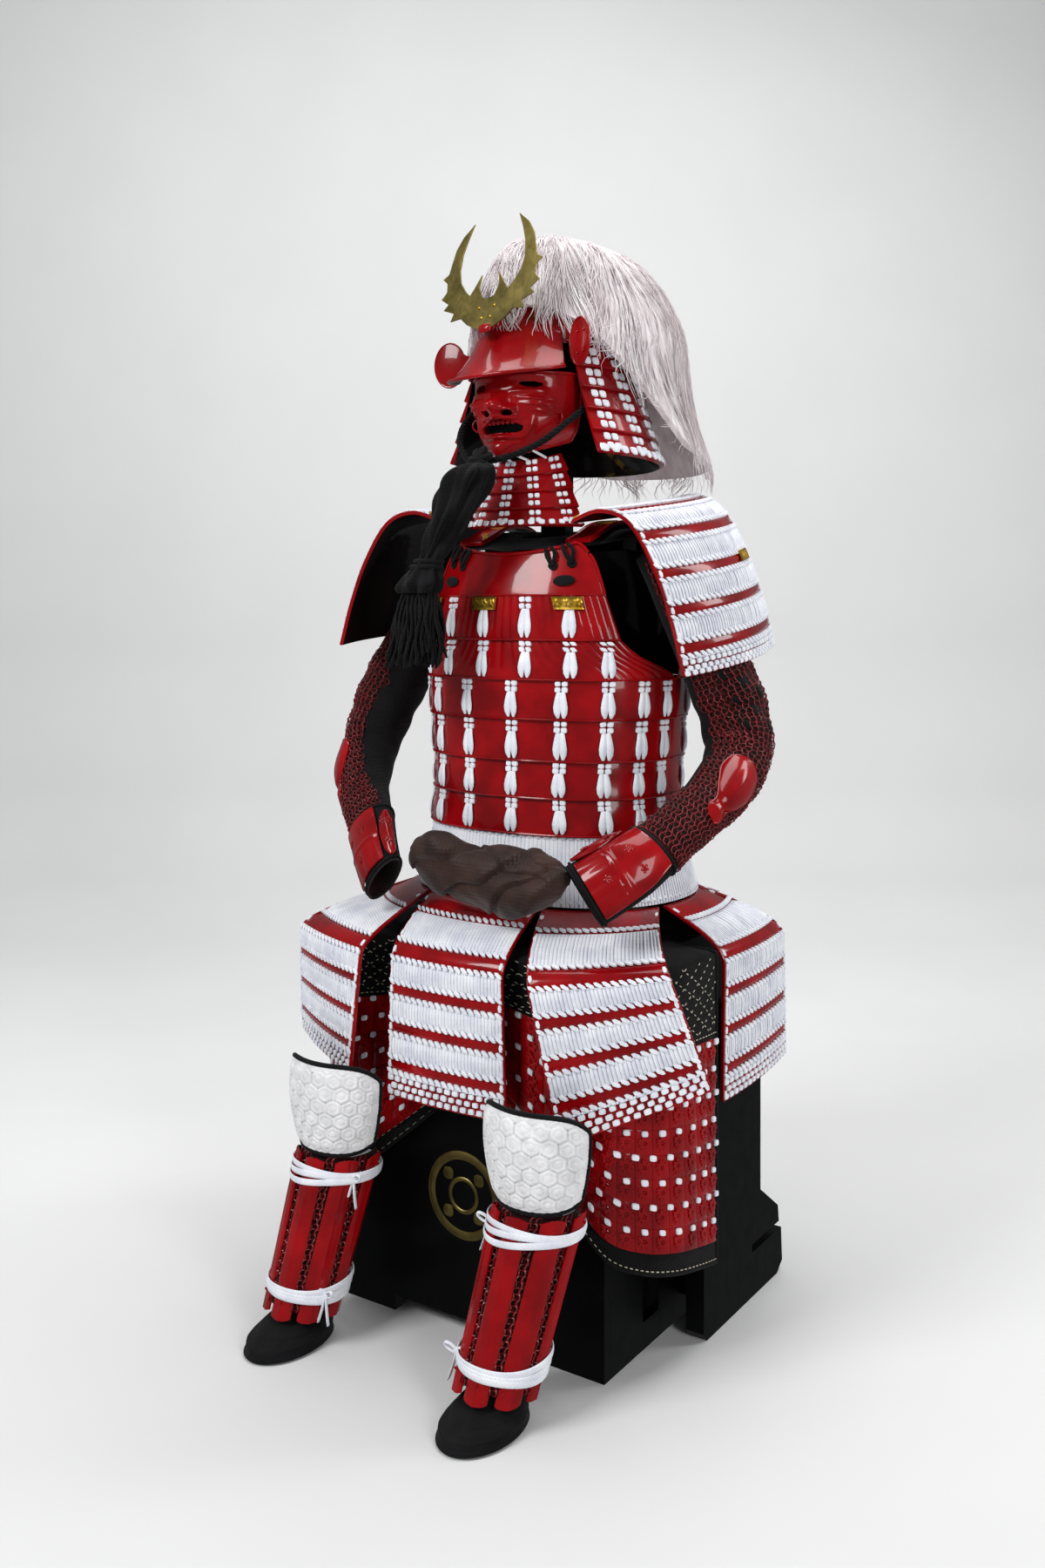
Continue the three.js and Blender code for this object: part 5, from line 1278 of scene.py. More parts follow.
def mane_base(u, v):
    """Under side of the mane: course runs 0 to 1 over the crown and 1 to 2 down the back."""
    angle = 360 * (u % 1.0)
    front = np.minimum(angle, 360 - angle)
    course = v * along(MANE_REACH, front)
    rise = np.radians(84 * (1 - np.minimum(1, course)))
    fall = np.maximum(0, course - 1)
    back = bump(front, 180, 120)
    hug = BOWL_HALF_WIDTH + 8
    clear = 20 * np.clip((front - 45) / 30, 0, 1) * np.clip((course - 0.6) / 0.35, 0, 1)
    flare = clear + 50 * fall**1.2
    full = np.cos(rise) ** (1 - 0.35 * back)
    width = (hug + flare + 22 * back) * full
    depth = (hug + flare + 14 + 88 * back + 24 * fall) * full
    return round_head(angle, width, depth, BOWL_Z + (BOWL_HEIGHT + 8) * np.sin(rise) - 172 * fall)


def mane_rise(u, v):
    back = bump(np.minimum(u % 1.0, 1 - u % 1.0), 0.5, 0.4)
    return 10 + (18 + 8 * back) * bump(v, 0.3, 0.6)


def make_mane(strands):
    """A padded cap of hair, then tapering locks that start on the crown and fall past its hem."""
    sheet = Sheet(mane_base,
                  lambda p: np.stack([p[..., 0], p[..., 1], np.maximum(-10, p[..., 2] - BOWL_Z)], -1))
    cloth = Cloth()
    u, v = grid_of(150, 18)
    u, v = u[:, :-1], np.clip(v, 0.01, 0.985)[:, :-1]
    locks = 2.6 * np.abs(np.sin(math.pi * u * 55 + 2 * np.sin(v * 5 + u * 40))) * np.clip(v * 4, 0, 1)
    outer = sheet.at(u, v, mane_rise(u, v) - 5 + locks)
    inner = sheet.at(u, v, -2)
    cloth.shell(outer, inner, 0, 0, around=True)
    crown = outer[0].mean(0) + [0, 0, 4]
    steps = np.array([0.02, 0.3, 0.65, 1.0])[:, None, None]
    cloth.grid(crown + (outer[0] - crown) * steps, 0, around=True)
    count = strands
    start_u = DICE.uniform(0, 1, count)
    start_v = DICE.uniform(0.02, 0.74, count) ** 0.8
    reach = DICE.uniform(0.3, 0.8, count)
    share = np.linspace(0, 1, 7)
    # neighbouring strands bend together, so that the hair falls in locks
    swing = (0.022 * np.sin(start_u * 83) + 0.014 * np.sin(start_u * 37 + 2)
             + DICE.normal(0, 0.006, count))[:, None]
    wander = swing * share**1.5 + 0.007 * np.sin(share * 6 + 9 * start_u[:, None] * 6
                                                 + DICE.uniform(0, 1, (count, 1)))
    uu = (start_u[:, None] + wander) % 1.0
    vv = np.minimum(start_v[:, None] + reach[:, None] * share, 0.995)
    lift = mane_rise(uu, vv) - 4 + DICE.uniform(0.5, 5.5, (count, 1)) * np.sin(math.pi * share) + 2 * share
    paths = sheet.at(uu, vv, lift)
    spare = np.maximum(0, start_v[:, None] + reach[:, None] * share - 0.97)
    paths[..., 2] -= 90 * spare
    heading = unit(np.gradient(paths, axis=1))
    side = unit(np.cross(heading, paths - [0, 0, BOWL_Z - 60]))
    other = np.cross(heading, side)
    width = (DICE.uniform(0.7, 1.7, (count, 1)) * np.sqrt(np.clip(1.02 - share, 0, 1))
             * np.clip(share * 6 + 0.3, 0, 1))
    ring = []
    for corner in range(3):
        turn = 2 * math.pi * corner / 3
        ring.append(paths + side * (width * math.cos(turn))[..., None]
                    + other * (width * 0.6 * math.sin(turn))[..., None])
    points = np.stack(ring, axis=2)
    steps = len(share)
    quads = [[s * 3 + c, s * 3 + (c + 1) % 3, (s + 1) * 3 + (c + 1) % 3, (s + 1) * 3 + c]
             for s in range(steps - 1) for c in range(3)]
    faces = np.array(quads)[None, :, ::-1] + (np.arange(count) * steps * 3)[:, None, None]
    cloth.add(points.reshape(-1, 3), faces.reshape(-1, 4), 0)
    cloth.piece("hair_mane_locks", chosen("hair"), "hair", ("hair_mane",))


MASK_WIDTHS = [(1244, 40), (1262, 62), (1290, 80), (1330, 87), (1372, 88)]
MASK_DEPTHS = [(1244, 88), (1262, 96), (1290, 96), (1330, 96), (1372, 92)]


def mask_base(u, v):
    side = 2 * u - 1
    turn = np.radians(84 * side)
    bottom = 1246 + 34 * np.clip(np.abs(side) - 0.25, 0, 1) ** 1.3
    z = 1366 + (bottom - 1366) * v
    return vec(rounded(MASK_WIDTHS, z) * np.sin(turn), MASK_Y - rounded(MASK_DEPTHS, z) * np.cos(turn), z)


def mask_form(u, v):
    """Brow, nose with flared nostrils, cheek folds, lips and chin of an ordinary fierce mask."""
    angle = 84 * (2 * u - 1)
    wide = np.abs(angle)
    form = 31 * bump(angle, 0, 14) * bump(v, 0.41, 0.2) + 15 * bump(wide, 13, 8) * bump(v, 0.455, 0.09)
    form += 8 * bump(wide, 38, 20) * bump(v, 0.37, 0.2)
    # three folds that sweep from the nose over each cheek
    for number, strength in ((0, 3.2), (1, 2.6), (2, 2.0)):
        course = 0.3 + 0.07 * number + 0.12 * np.clip((wide - 14) / 50, 0, 1) ** 1.4
        form += strength * bump(v, course, 0.028) * bump(wide, 36 + 4 * number, 24)
    form += 3.4 * bump(v, 0.235, 0.04) * bump(wide, 28, 22) - 3.5 * bump(v, 0.155, 0.07) * bump(wide, 31, 18)
    form += 5 * bump(v, 0.04, 0.07) * bump(wide, 26, 26)
    lips = bump(wide, 0, 36)
    form += lips * (7 * bump(v, 0.55, 0.05) + 6.5 * bump(v, 0.785, 0.05))
    form += 3.6 * bump(wide, 33, 8) * bump(v, 0.66, 0.22)
    form += 11 * bump(wide, 0, 25) * bump(v, 0.93, 0.17) - 3 * bump(wide, 0, 22) * bump(v, 0.82, 0.05)
    return form


def make_mask():
    cloth = Cloth()
    sheet = Sheet(mask_base, lambda point: point * [1, 1, 0] - [0, MASK_Y, 0])
    columns, rows = 120, 104
    u, v = grid_of(columns, rows)
    angle = 84 * (2 * u - 1)
    form = mask_form(u, v)
    outer = sheet.at(u, v, form + 1.5)
    inner = sheet.at(u, v, np.minimum(form, 8) - 1.5)
    centre = lambda grid: (grid[:-1, :-1] + grid[1:, 1:]) / 2
    a, r = centre(angle), centre(v)
    mouth = (np.abs(a) / 27) ** 2.2 + (np.abs(r - 0.672 + 0.02 * np.cos(a / 12)) / 0.083) ** 2 < 1
    eyes = ((np.abs(a) - 31) / 11.5) ** 2 + ((r - 0.15 - 0.0012 * (np.abs(a) - 31)) / 0.036) ** 2 < 1
    nostrils = ((np.abs(a) - 10.5) / 5.6) ** 2 + ((r - 0.494) / 0.036) ** 2 < 1
    open_cell = mouth | eyes | nostrils
    index = np.arange(outer.shape[0] * outer.shape[1]).reshape(outer.shape[:2])
    layer = index.size
    corners = np.stack([index[:-1, :-1], index[:-1, 1:], index[1:, 1:], index[1:, :-1]], -1)
    quads = corners[~open_cell]
    rims = []
    closed = np.pad(~open_cell, 1)
    for row_step, column_step, first, second in ((-1, 0, 0, 1), (1, 0, 2, 3), (0, -1, 3, 0), (0, 1, 1, 2)):
        beyond = closed[1 + row_step:closed.shape[0] - 1 + row_step,
                        1 + column_step:closed.shape[1] - 1 + column_step]
        edge = corners[~open_cell & ~beyond]
        rims.append(np.stack([edge[:, second], edge[:, first], edge[:, first] + layer,
                              edge[:, second] + layer], -1))
    points = np.concatenate([outer.reshape(-1, 3), inner.reshape(-1, 3)])
    cloth.add(points, np.concatenate([quads, quads[:, ::-1] + layer, *rims]), 0)
    # two rows of lacquered teeth behind the lips
    for level, tall in ((0.592, 4.4), (0.752, 3.4)):
        for angle_at in np.linspace(-21, 21, 8):
            at_u = np.array(0.5 + angle_at / 168)
            point, across, down, normal = sheet.frame(at_u, np.array(level))
            cloth.beads(point - normal * 2.5, across, down, normal, (3.6, tall, 2.2), 0, 0.6, (8, 5))
    turn = np.linspace(0, 1, 60)
    cloth.tube(sheet.at(turn, 0.006, 2.6), 2.4, 8, 0)
    side_rolls(cloth, sheet, 0.008, np.linspace(0.01, 0.97, 30), 1.6, 2.6)
    for u_hook in (0.14, 0.86):
        point, across, down, normal = sheet.frame(np.array(u_hook), np.array(0.62))
        arc = np.linspace(0, math.pi, 9)[:, None]
        cloth.tube(point + normal * (1 + 8 * np.sin(arc)) + down * 9 * np.cos(arc), 1.5, 8, 0)
    cloth.piece("face_mask_formed", chosen("lacquer"), "lacquer", ("face_mask",), sharp=50)

    throat = Cloth()
    sheet = Sheet(throat_base, lambda point: point * [1, 1, 0] - [0, -46, 0])
    lamed_guard(throat, sheet, 4, 5, 9.5, 17)
    for u_tie in np.linspace(0.16, 0.84, 5):
        top = sheet.at(np.array(u_tie), np.array(0.02), 1.5)
        chin = mask_base(np.array(0.5 + (u_tie - 0.5) * 0.8), np.array(0.985))
        throat.tube(np.linspace(top, chin, 5) + [0, -1, 0], 2.0, 6, 2)
    throat.piece("throat_guard_laced", chosen("lacquer", "inside", "lacing"), "lacquer", ("throat_guard",),
                 sharp=45)


CHIN_CORD = [(100, -40, 1352), (99, -70, 1318), (90, -112, 1288), (68, -138, 1262), (34, -158, 1244),
             (-8, -168, 1236), (-44, -160, 1240), (-74, -142, 1266), (-92, -112, 1294), (-100, -76, 1322),
             (-102, -44, 1352)]
TASSEL_COURSE = [(-8, -188, 1232, 14), (-14, -194, 1220, 34), (-30, -200, 1188, 34), (-52, -206, 1140, 26),
                 (-74, -210, 1100, 18), (-82, -212, 1084, 22), (-90, -214, 1060, 34), (-94, -214, 1046, 30)]


def smooth_path(rows, count):
    table = np.column_stack([np.arange(len(rows)), rows])
    key = np.linspace(0, len(rows) - 1, count)
    return np.stack([rounded(table, key, column) for column in range(1, table.shape[1])], -1)


def make_cord_and_tassel(strands):
    """Plaited black cord round the mask, gathered cloth below its knot, and the tassel's strands."""
    cord = Cloth()
    path = smooth_path(CHIN_CORD, 130)
    for phase in range(3):
        turn = np.linspace(0, 34 * math.pi, len(path)) + phase * 2 * math.pi / 3
        heading = unit(np.gradient(path, axis=0))
        side = unit(np.cross(heading, [0, 0, 1.0]))
        other = np.cross(heading, side)
        strand = path + 2.3 * (side * np.cos(turn)[:, None] + other * np.sin(turn)[:, None])
        cord.tube(strand, 2.9, 6, 0)
    knot_at = np.array([-8.0, -182.0, 1240.0])
    for lean in (0.2, 1.3, 2.4):
        turn = np.linspace(0, 2 * math.pi, 33)[:-1, None]
        ring = knot_at + 13 * np.cos(turn) * np.array([math.cos(lean), 0.3, math.sin(lean)]) \
            + 9 * np.sin(turn) * np.array([-0.3, 1.0, 0.4])
        cord.tube(ring, 5.2, 8, 0, loop=True)
    cord.piece("chin_cord_plaited", chosen("cloth"), "black_cloth", ("chin_cord",))

    tassel = Cloth()
    course = smooth_path(TASSEL_COURSE, 70)
    turn = np.linspace(0, 2 * math.pi, 73)[:-1]
    share = np.linspace(0, 1, len(course))[:, None]
    folds = 1 + 0.13 * np.cos(7 * turn + 6 * share) + 0.08 * np.cos(12 * turn - 9 * share + 1.0)
    sag = 1 + 0.1 * np.sin(share * 26 + 2 * turn) * np.sin(math.pi * share)
    radius = course[:, 3:4] * folds * sag
    body = course[:, None, :3] + np.stack([radius * np.cos(turn), 0.8 * radius * np.sin(turn),
                                           4 * np.sin(3 * turn + share * 8) * np.sin(math.pi * share)], -1)
    tassel.grid(body, 0, around=True)
    for z, wide in ((1092, 21), (1084, 23)):
        ring = [(-79 - (1092 - z) * 0.5 + wide * math.cos(t), -211 + 0.8 * wide * math.sin(t), z)
                for t in turn[::2]]
        tassel.tube(np.array(ring), 3.4, 8, 0, loop=True)
    for number in range(strands):
        spread = math.sqrt((number + 0.5) / strands)
        spin = number * 2.4
        end = 936 + DICE.uniform(0, 26)
        down = np.linspace(0, 1, 9)
        z = 1056 + (end - 1056) * down
        open_out = (0.5 + 0.56 * down**0.7) * spread
        wobble = 2.2 * np.sin(down * 9 + number)
        strand = np.stack([-92 + 50 * open_out * math.cos(spin) - 0.08 * (1056 - z) + wobble,
                           -214 + 27 * open_out * math.sin(spin) + 0.6 * wobble, z], -1)
        tassel.tube(strand, 2.5 * (1 - 0.25 * down), 5, 0)
    tassel.piece("chin_tassel_strands", chosen("cloth"), "black_cloth", ("chin_tassel",))


SASH_COURSE = [(-104, -214, 668, 16), (-84, -218, 666, 34), (-40, -222, 662, 46), (10, -224, 652, 40),
               (60, -226, 648, 48), (114, -228, 650, 44), (152, -230, 658, 28), (170, -232, 662, 12)]


def make_sash():
    """Rolled silk on the lap: two rolls twisted round each other, with soft crossing creases."""
    cloth = Cloth()
    course = smooth_path(SASH_COURSE, 90)
    share = np.linspace(0, 1, len(course))[:, None]
    turn = np.linspace(0, 2 * math.pi, 105)[:-1]
    twist = share * 6.4
    lobes = 1 + 0.12 * np.cos(2 * turn + twist) + 0.05 * np.cos(3 * turn - share * 7 + 1)
    creases = (0.03 * np.sin(share * 17 + 4 * turn + 1.5 * np.sin(turn))
               + 0.012 * np.sin(share * 41 - 7 * turn))
    # deep overlaps where one roll lies on the next: a soft shoulder, then a sharp drop
    overlaps = np.zeros_like(lobes)
    for start, pitch, depth in ((0.4, 7.2, 0.3), (2.6, 8.6, 0.34), (4.5, 6.4, 0.26), (5.6, -4.6, 0.16),
                                (3.4, -6.0, 0.14)):
        away = (turn + share * pitch - start
                + 0.3 * np.sin(share * 19 + start)) % (2 * math.pi) / (2 * math.pi)
        overlaps -= depth * np.exp(-away * 13) * np.clip(away * 45, 0, 1)
    radius = course[:, 3:4] * (lobes + creases + overlaps)
    body = course[:, None, :3] + np.stack([6 * np.sin(3 * turn + share * 14) * np.sin(math.pi * share),
                                           0.72 * radius * np.cos(turn), radius * np.sin(turn)], -1)
    cloth.grid(body, 0, around=True)
    for end, out in ((0, -5), (-1, 5)):
        ring = body[end]
        middle = ring.mean(0)
        steps = np.array([1.0, 0.7, 0.35, 0.05])[:, None, None]
        dome = middle + (ring - middle) * steps + np.array([out, 0, 0]) * (1 - steps**2)
        cloth.grid(dome, 0, around=True, flip=end == 0)
    cloth.piece("waist_sash_rolled", chosen("sash"), "sash_cloth", ("waist_sash",))


THIGH_PATH = [(30, -226, 330), (110, -226, 262), (182, -226, 204), (232, -228, 166), (268, -200, 148),
              (290, -150, 134), (294, -84, 118), (294, -38, 108)]
THIGH_TOP = BOX_TOP + 4


def thigh_sheet(side):
    keys = [(number / (len(THIGH_PATH) - 1), *row) for number, row in enumerate(THIGH_PATH)]

    def base(u, v):
        x, y, low = (rounded(keys, u, column) for column in (1, 2, 3))
        reach = 1 - 0.32 * np.clip(1 - v / 0.12, 0, 1)
        z = np.where(v < 0.12, THIGH_TOP, THIGH_TOP - (THIGH_TOP - low) * (v - 0.12) / 0.88)
        return vec(side * x * reach, y * reach, z)
    return Sheet(base, lambda point: np.stack([point[..., 0], point[..., 1], point[..., 2] * 0 + 60], -1))


def blossom(cloth, point, across, down, normal, size):
    """Embossed five-petalled flower with notched petals, as smiths chase on small plates."""
    for petal in range(5):
        turn = 2 * math.pi * petal / 5 + 0.3
        way = across * math.cos(turn) + down * math.sin(turn)
        beside = np.cross(normal, way)
        for lean in (-0.36, 0.36):
            tip = way * math.cos(lean) + beside * math.sin(lean)
            cloth.beads(point + tip * size * 0.56, tip, np.cross(normal, tip), normal,
                        (size * 0.42, size * 0.25, 1.9), 1, 1.0, (6, 3))
    cloth.beads(point, across, down, normal, (size * 0.17, size * 0.17, 1.8), 1, 1.0, (6, 3))


def make_thigh_guards():
    """Black cloth panels: stitched lattice above, then rows of small chased plates with knots."""
    for side, name in SIDES:
        ground = Cloth()
        sheet = thigh_sheet(side)
        u, v = grid_of(48, 56)
        pucker = 0.9 * np.sin(u * 60) * np.sin(v * 46)
        ground.shell(sheet.at(u, v, 0.9 + pucker * 0.5), sheet.at(u, v, -1.6), 0, 0)
        base = ground.piece("thigh_guard_cloth_" + name, chosen("cloth"), "black_cloth",
                            ("thigh_guard_" + name,), welded=True)
        cloth = Cloth()
        rows, columns = 8, 13
        s, t = np.meshgrid([0, 0.12, 0.5, 0.88, 1], [0, 0.12, 0.5, 0.88, 1])
        for row in range(rows):
            v0 = 0.36 + 0.0715 * row
            lower_line = row % 2
            for column in range(columns):
                u0 = 0.04 + 0.92 * column / columns
                edge = np.clip(np.minimum(np.minimum(s, 1 - s), np.minimum(t, 1 - t)) * 9, 0, 1)
                uu = u0 + (0.92 / columns) * (0.01 + 0.98 * s)
                vv = v0 + 0.0715 * (0.005 + 0.99 * t)
                rise = 1.6 + 1.2 * edge + 1.3 * (lower_line + t)
                cloth.shell(sheet.at(uu, vv, rise), sheet.at(uu, vv, 0 * s + 0.4), 1)
                point, across, down, normal = sheet.frame(np.array(uu.mean()), np.array(vv.mean()))
                blossom(cloth, point + normal * (4.2 + 1.3 * lower_line), across, down, normal, 11.5)
            us = 0.04 + 0.92 * (np.arange(columns + 1 - lower_line) + 0.5 * lower_line) / columns
            cross_knots(cloth, sheet, us, v0 + 0.008, 11.0, 8.6, 4.8 + 1.3 * lower_line, 2)
        # pale lattice stitching on the bare cloth above and round the border
        for line in range(-5, 9):
            course = np.linspace(0, 1, 46)
            for lean in (-1, 1):
                uu = 0.08 * line + 0.1 + (0.5 if lean < 0 else 0.0) + lean * course * 0.34
                vv = 0.13 + course * 0.21
                inside = (uu > 0.03) & (uu < 0.97)
                dash = np.flatnonzero(inside & (np.arange(46) % 3 < 2))
                for start in dash[:-1]:
                    if start % 3 == 0 and inside[min(start + 1, 45)]:
                        pair = sheet.at(uu[start:start + 2], vv[start:start + 2], 2.2)
                        cloth.tube(pair, 0.7, 4, 3)
        for v_line in (0.345, 0.93, 0.985):
            spots = np.linspace(0.02, 0.98, 90)
            for start in range(0, 90, 2):
                cloth.tube(sheet.at(spots[start:start + 2], v_line, 1.8), 0.7, 4, 3)
        border = np.linspace(0.005, 0.995, 80)
        cloth.tube(sheet.at(border, 0.994, 0.4), 3.0, 8, 0)
        side_rolls(cloth, sheet, 0.006, np.linspace(0.01, 0.99, 70), 0.4, 3.0)
        piece = cloth.piece("thigh_guard_plated_" + name, chosen("cloth", "lacquer", "lacing", "thread"),
                            "lacquer", sharp=45)
        flat, area = cut_of(sheet)


LEGS = {"left": (166, 146, -364), "right": (-178, -200, -346)}
KNEE_Y, KNEE_LOW, KNEE_HIGH, SHIN_LOW = -286, 258, 384, 36
SPLINTS = 5
SIN_60 = 0.866


class Leg:
    """Axis of a lower leg, from the ankle up to the knee, and the oval round it."""

    def __init__(self, row):
        self.knee_x, self.ankle_x, self.ankle_y = row

    def axis(self, z):
        share = np.clip((z - SHIN_LOW) / (KNEE_LOW - SHIN_LOW), 0, 1)
        return vec(self.ankle_x + (self.knee_x - self.ankle_x) * share,
                   self.ankle_y + (KNEE_Y - self.ankle_y) * share, z)

    def point(self, angle, z, half_width, half_depth):
        turn = np.radians(angle)
        return self.axis(z) + vec(half_width * np.sin(turn), -half_depth * np.cos(turn), 0)

    def shin(self, angle, z, half_width=50, half_depth=45):
        """A point round the shin, which widens towards the knee."""
        share = (z - SHIN_LOW) / (KNEE_LOW - SHIN_LOW)
        return self.point(angle, z, half_width + 8 * share, half_depth + 7 * share)

    def out(self, point):
        return (point - self.axis(point[..., 2])) * [1, 1, 0.3]


def hexagons(x, y, size):
    """Height of a quilt of hexagons: 1 on a boss, falling to 0 in its seams."""
    best = np.full_like(x, 1e9)
    tall = size * math.sqrt(3) / 2
    for shift_x, shift_y in ((0, 0), (size / 2, tall)):
        near_x = (x - shift_x + size / 2) % size - size / 2
        near_y = (y - shift_y + tall) % (2 * tall) - tall
        reach = np.maximum(np.abs(near_x),
                           np.maximum(np.abs(0.5 * near_x + SIN_60 * near_y),
                                      np.abs(0.5 * near_x - SIN_60 * near_y)))
        best = np.minimum(best, reach)
    return np.clip(1 - (best / (size / 2)) ** 3.2, 0, 1)


def make_knee(leg, name):
    cloth = Cloth()

    def base(u, v):
        side = 2 * u - 1
        top = KNEE_HIGH - 26 * side**4
        z = top + (KNEE_LOW + 14 * side**4 - top) * v
        share = (z - KNEE_LOW) / (KNEE_HIGH - KNEE_LOW)
        return leg.point(84 * side, z, 60 + 16 * np.sin(share * 2.2), 52 + 12 * np.sin(share * 2.6))
    sheet = Sheet(base, leg.out)
    u, v = grid_of(134, 88)
    x, y = (2 * u - 1) * 98, v * 124
    boss = hexagons(x, y, 21.0)
    edge = np.clip(np.minimum(np.minimum(u, 1 - u) * 12, np.minimum(v, 1 - v) * 9), 0, 1)
    rise = 1.4 + edge * (3.8 * np.clip(boss * 2.6, 0, 1) ** 0.7 - 1.3 * bump(boss, 0.9, 0.1))
    cells = (boss[:-1, :-1] + boss[1:, 1:] + boss[:-1, 1:] + boss[1:, :-1]) / 4
    cloth.grid(sheet.at(u, v, rise), np.where(cells < 0.14, 2, 0))
    u, v = grid_of(40, 24)
    cloth.shell(sheet.at(u, v, 0.6), sheet.at(u, v, -2.5), 0, 1)
    loop = np.concatenate([np.stack([np.linspace(0, 1, 60), np.zeros(60)]),
                           np.stack([np.ones(30), np.linspace(0.02, 1, 30)]),
                           np.stack([np.linspace(0.98, 0, 60), np.ones(60)]),
                           np.stack([np.zeros(30), np.linspace(0.98, 0.02, 30)])], 1)
    cloth.tube(sheet.at(loop[0], loop[1], 0 * loop[0] + 0.4), 3.6, 8, 1, loop=True)
    piece = cloth.piece("knee_guard_quilted_" + name, chosen("quilt", "cloth", "seam"), "quilt",
                        ("knee_guard_" + name,))


def make_shin(leg, name, ring):
    """Cloth and mail under five hollow-ground splints, and the two white ties with a bow."""
    cloth = Cloth()
    lining = lambda u, v: leg.point(120 * (2 * u - 1), KNEE_LOW - 6 - (KNEE_LOW - SHIN_LOW - 22) * v, 53, 47)
    flat = Sheet(lining, leg.out)
    u, v = grid_of(48, 12)
    cloth.shell(flat.at(u, v, -0.4), flat.at(u, v, -2.2), 0, 0)
    between_splints = lambda u: np.abs((u * SPLINTS) % 1 - 0.5) > 0.29
    mail_rings(cloth, flat, 215, 196, 0.02, 0.98, ring * 0.82, seen=between_splints)
    for number in range(SPLINTS):
        s, t = grid_of(16, 18)
        wide = 0.74 - 0.05 * np.cos(math.pi * t)
        uu = (number + 0.5 + (s - 0.5) * wide) / SPLINTS
        point_low = 0.985 - 0.035 * np.abs(2 * s - 1) ** 2.2
        vv = 0.012 + 0.02 * np.abs(2 * s - 1) ** 2 + (point_low - 0.012) * t
        keel = 3.6 + 3.4 * np.sqrt(np.clip(1 - (2 * s - 1) ** 2, 0, 1)) + 1.3 * bump(s, 0.5, 0.1)
        top_z = KNEE_LOW - 3.5
        z = top_z + (SHIN_LOW - top_z) * vv
        base = leg.shin(120 * (2 * uu - 1), z)
        out = unit(leg.out(base))
        cloth.shell(base + out * keel[..., None], base + out * (keel - 2.2)[..., None], 2, 3)
        for v_stud in (0.06, 0.93):
            at = int(v_stud * 18)
            spot = base[at, 8] + out[at, 8] * (keel[at, 8] + 0.4)
            cloth.beads(spot, [1.0, 0, 0], [0, 0, 1.0], out[at, 8], (2.4, 2.4, 1.3), 2)
    cloth.piece("shin_guard_splinted_" + name, chosen("ground", "mail", "lacquer", "inside"), "lacquer",
                        ("shin_guard_" + name,), sharp=50)
    ties = Cloth()
    for middle, tilt in ((226, 5.0), (76, -4.0)):
        for wrap, offset in enumerate((-5.2, 0.6, 6.0)):
            turn = np.linspace(0, 2 * math.pi, 65)[:-1]
            z = middle + offset + tilt * np.sin(turn + wrap) + 1.2 * np.sin(3 * turn + wrap)
            ring_points = leg.shin(np.degrees(turn), z, 59.6, 54.6)
            heading = unit(np.roll(ring_points, -1, 0) - np.roll(ring_points, 1, 0))
            out = unit(leg.out(ring_points))
            up = np.cross(out, heading)
            section = np.linspace(0, 2 * math.pi, 11)[:-1]
            band = ring_points[:, None] + up[:, None] * (4.6 * np.cos(section))[None, :, None] \
                + out[:, None] * (1.3 * np.sin(section))[None, :, None]
            ties.grid(np.concatenate([band, band[:1]]), 0, around=True)
        side = 1 if name == "left" else -1
        spot = leg.point(np.array(side * -62.0), np.array(float(middle)), 62, 56)
        for lean, size in ((0.5, 20), (2.5, 20)):
            arc = np.linspace(0, 2 * math.pi, 25)[:-1, None]
            along_loop = np.array([math.cos(lean) * side, -0.25, math.sin(lean) * 0.6])
            loop = (spot + (size * 0.5 * (1 - np.cos(arc))) * along_loop
                    + 5 * np.sin(arc) * np.array([0.1, -0.3, 1.0]))
            ties.tube(loop, 2.4, 8, 0, 0.5, loop=True)
        for lean in (-0.5, 0.35):
            fall = np.linspace(0, 1, 9)[:, None]
            tail = spot + fall * np.array([22 * lean, -4, -38]) + np.sin(fall * 3) * np.array([3, -4, 0])
            ties.tube(tail, 3.0, 8, 0, 0.4)
        ties.beads(spot, [1.0, 0, 0], [0, 0, 1.0], [0, -1.0, 0], (5.5, 5, 4), 0, 0.8)
    ties.piece("shin_ties_" + name, chosen("lacing"), "lacing")


BOOT_RINGS = [(0, 44, 68, -26), (6, 51, 76, -26), (16, 51, 75, -24), (27, 44, 60, -14), (33, 38, 42, -2),
              (60, 33, 32, 2), (112, 33, 30, 14)]


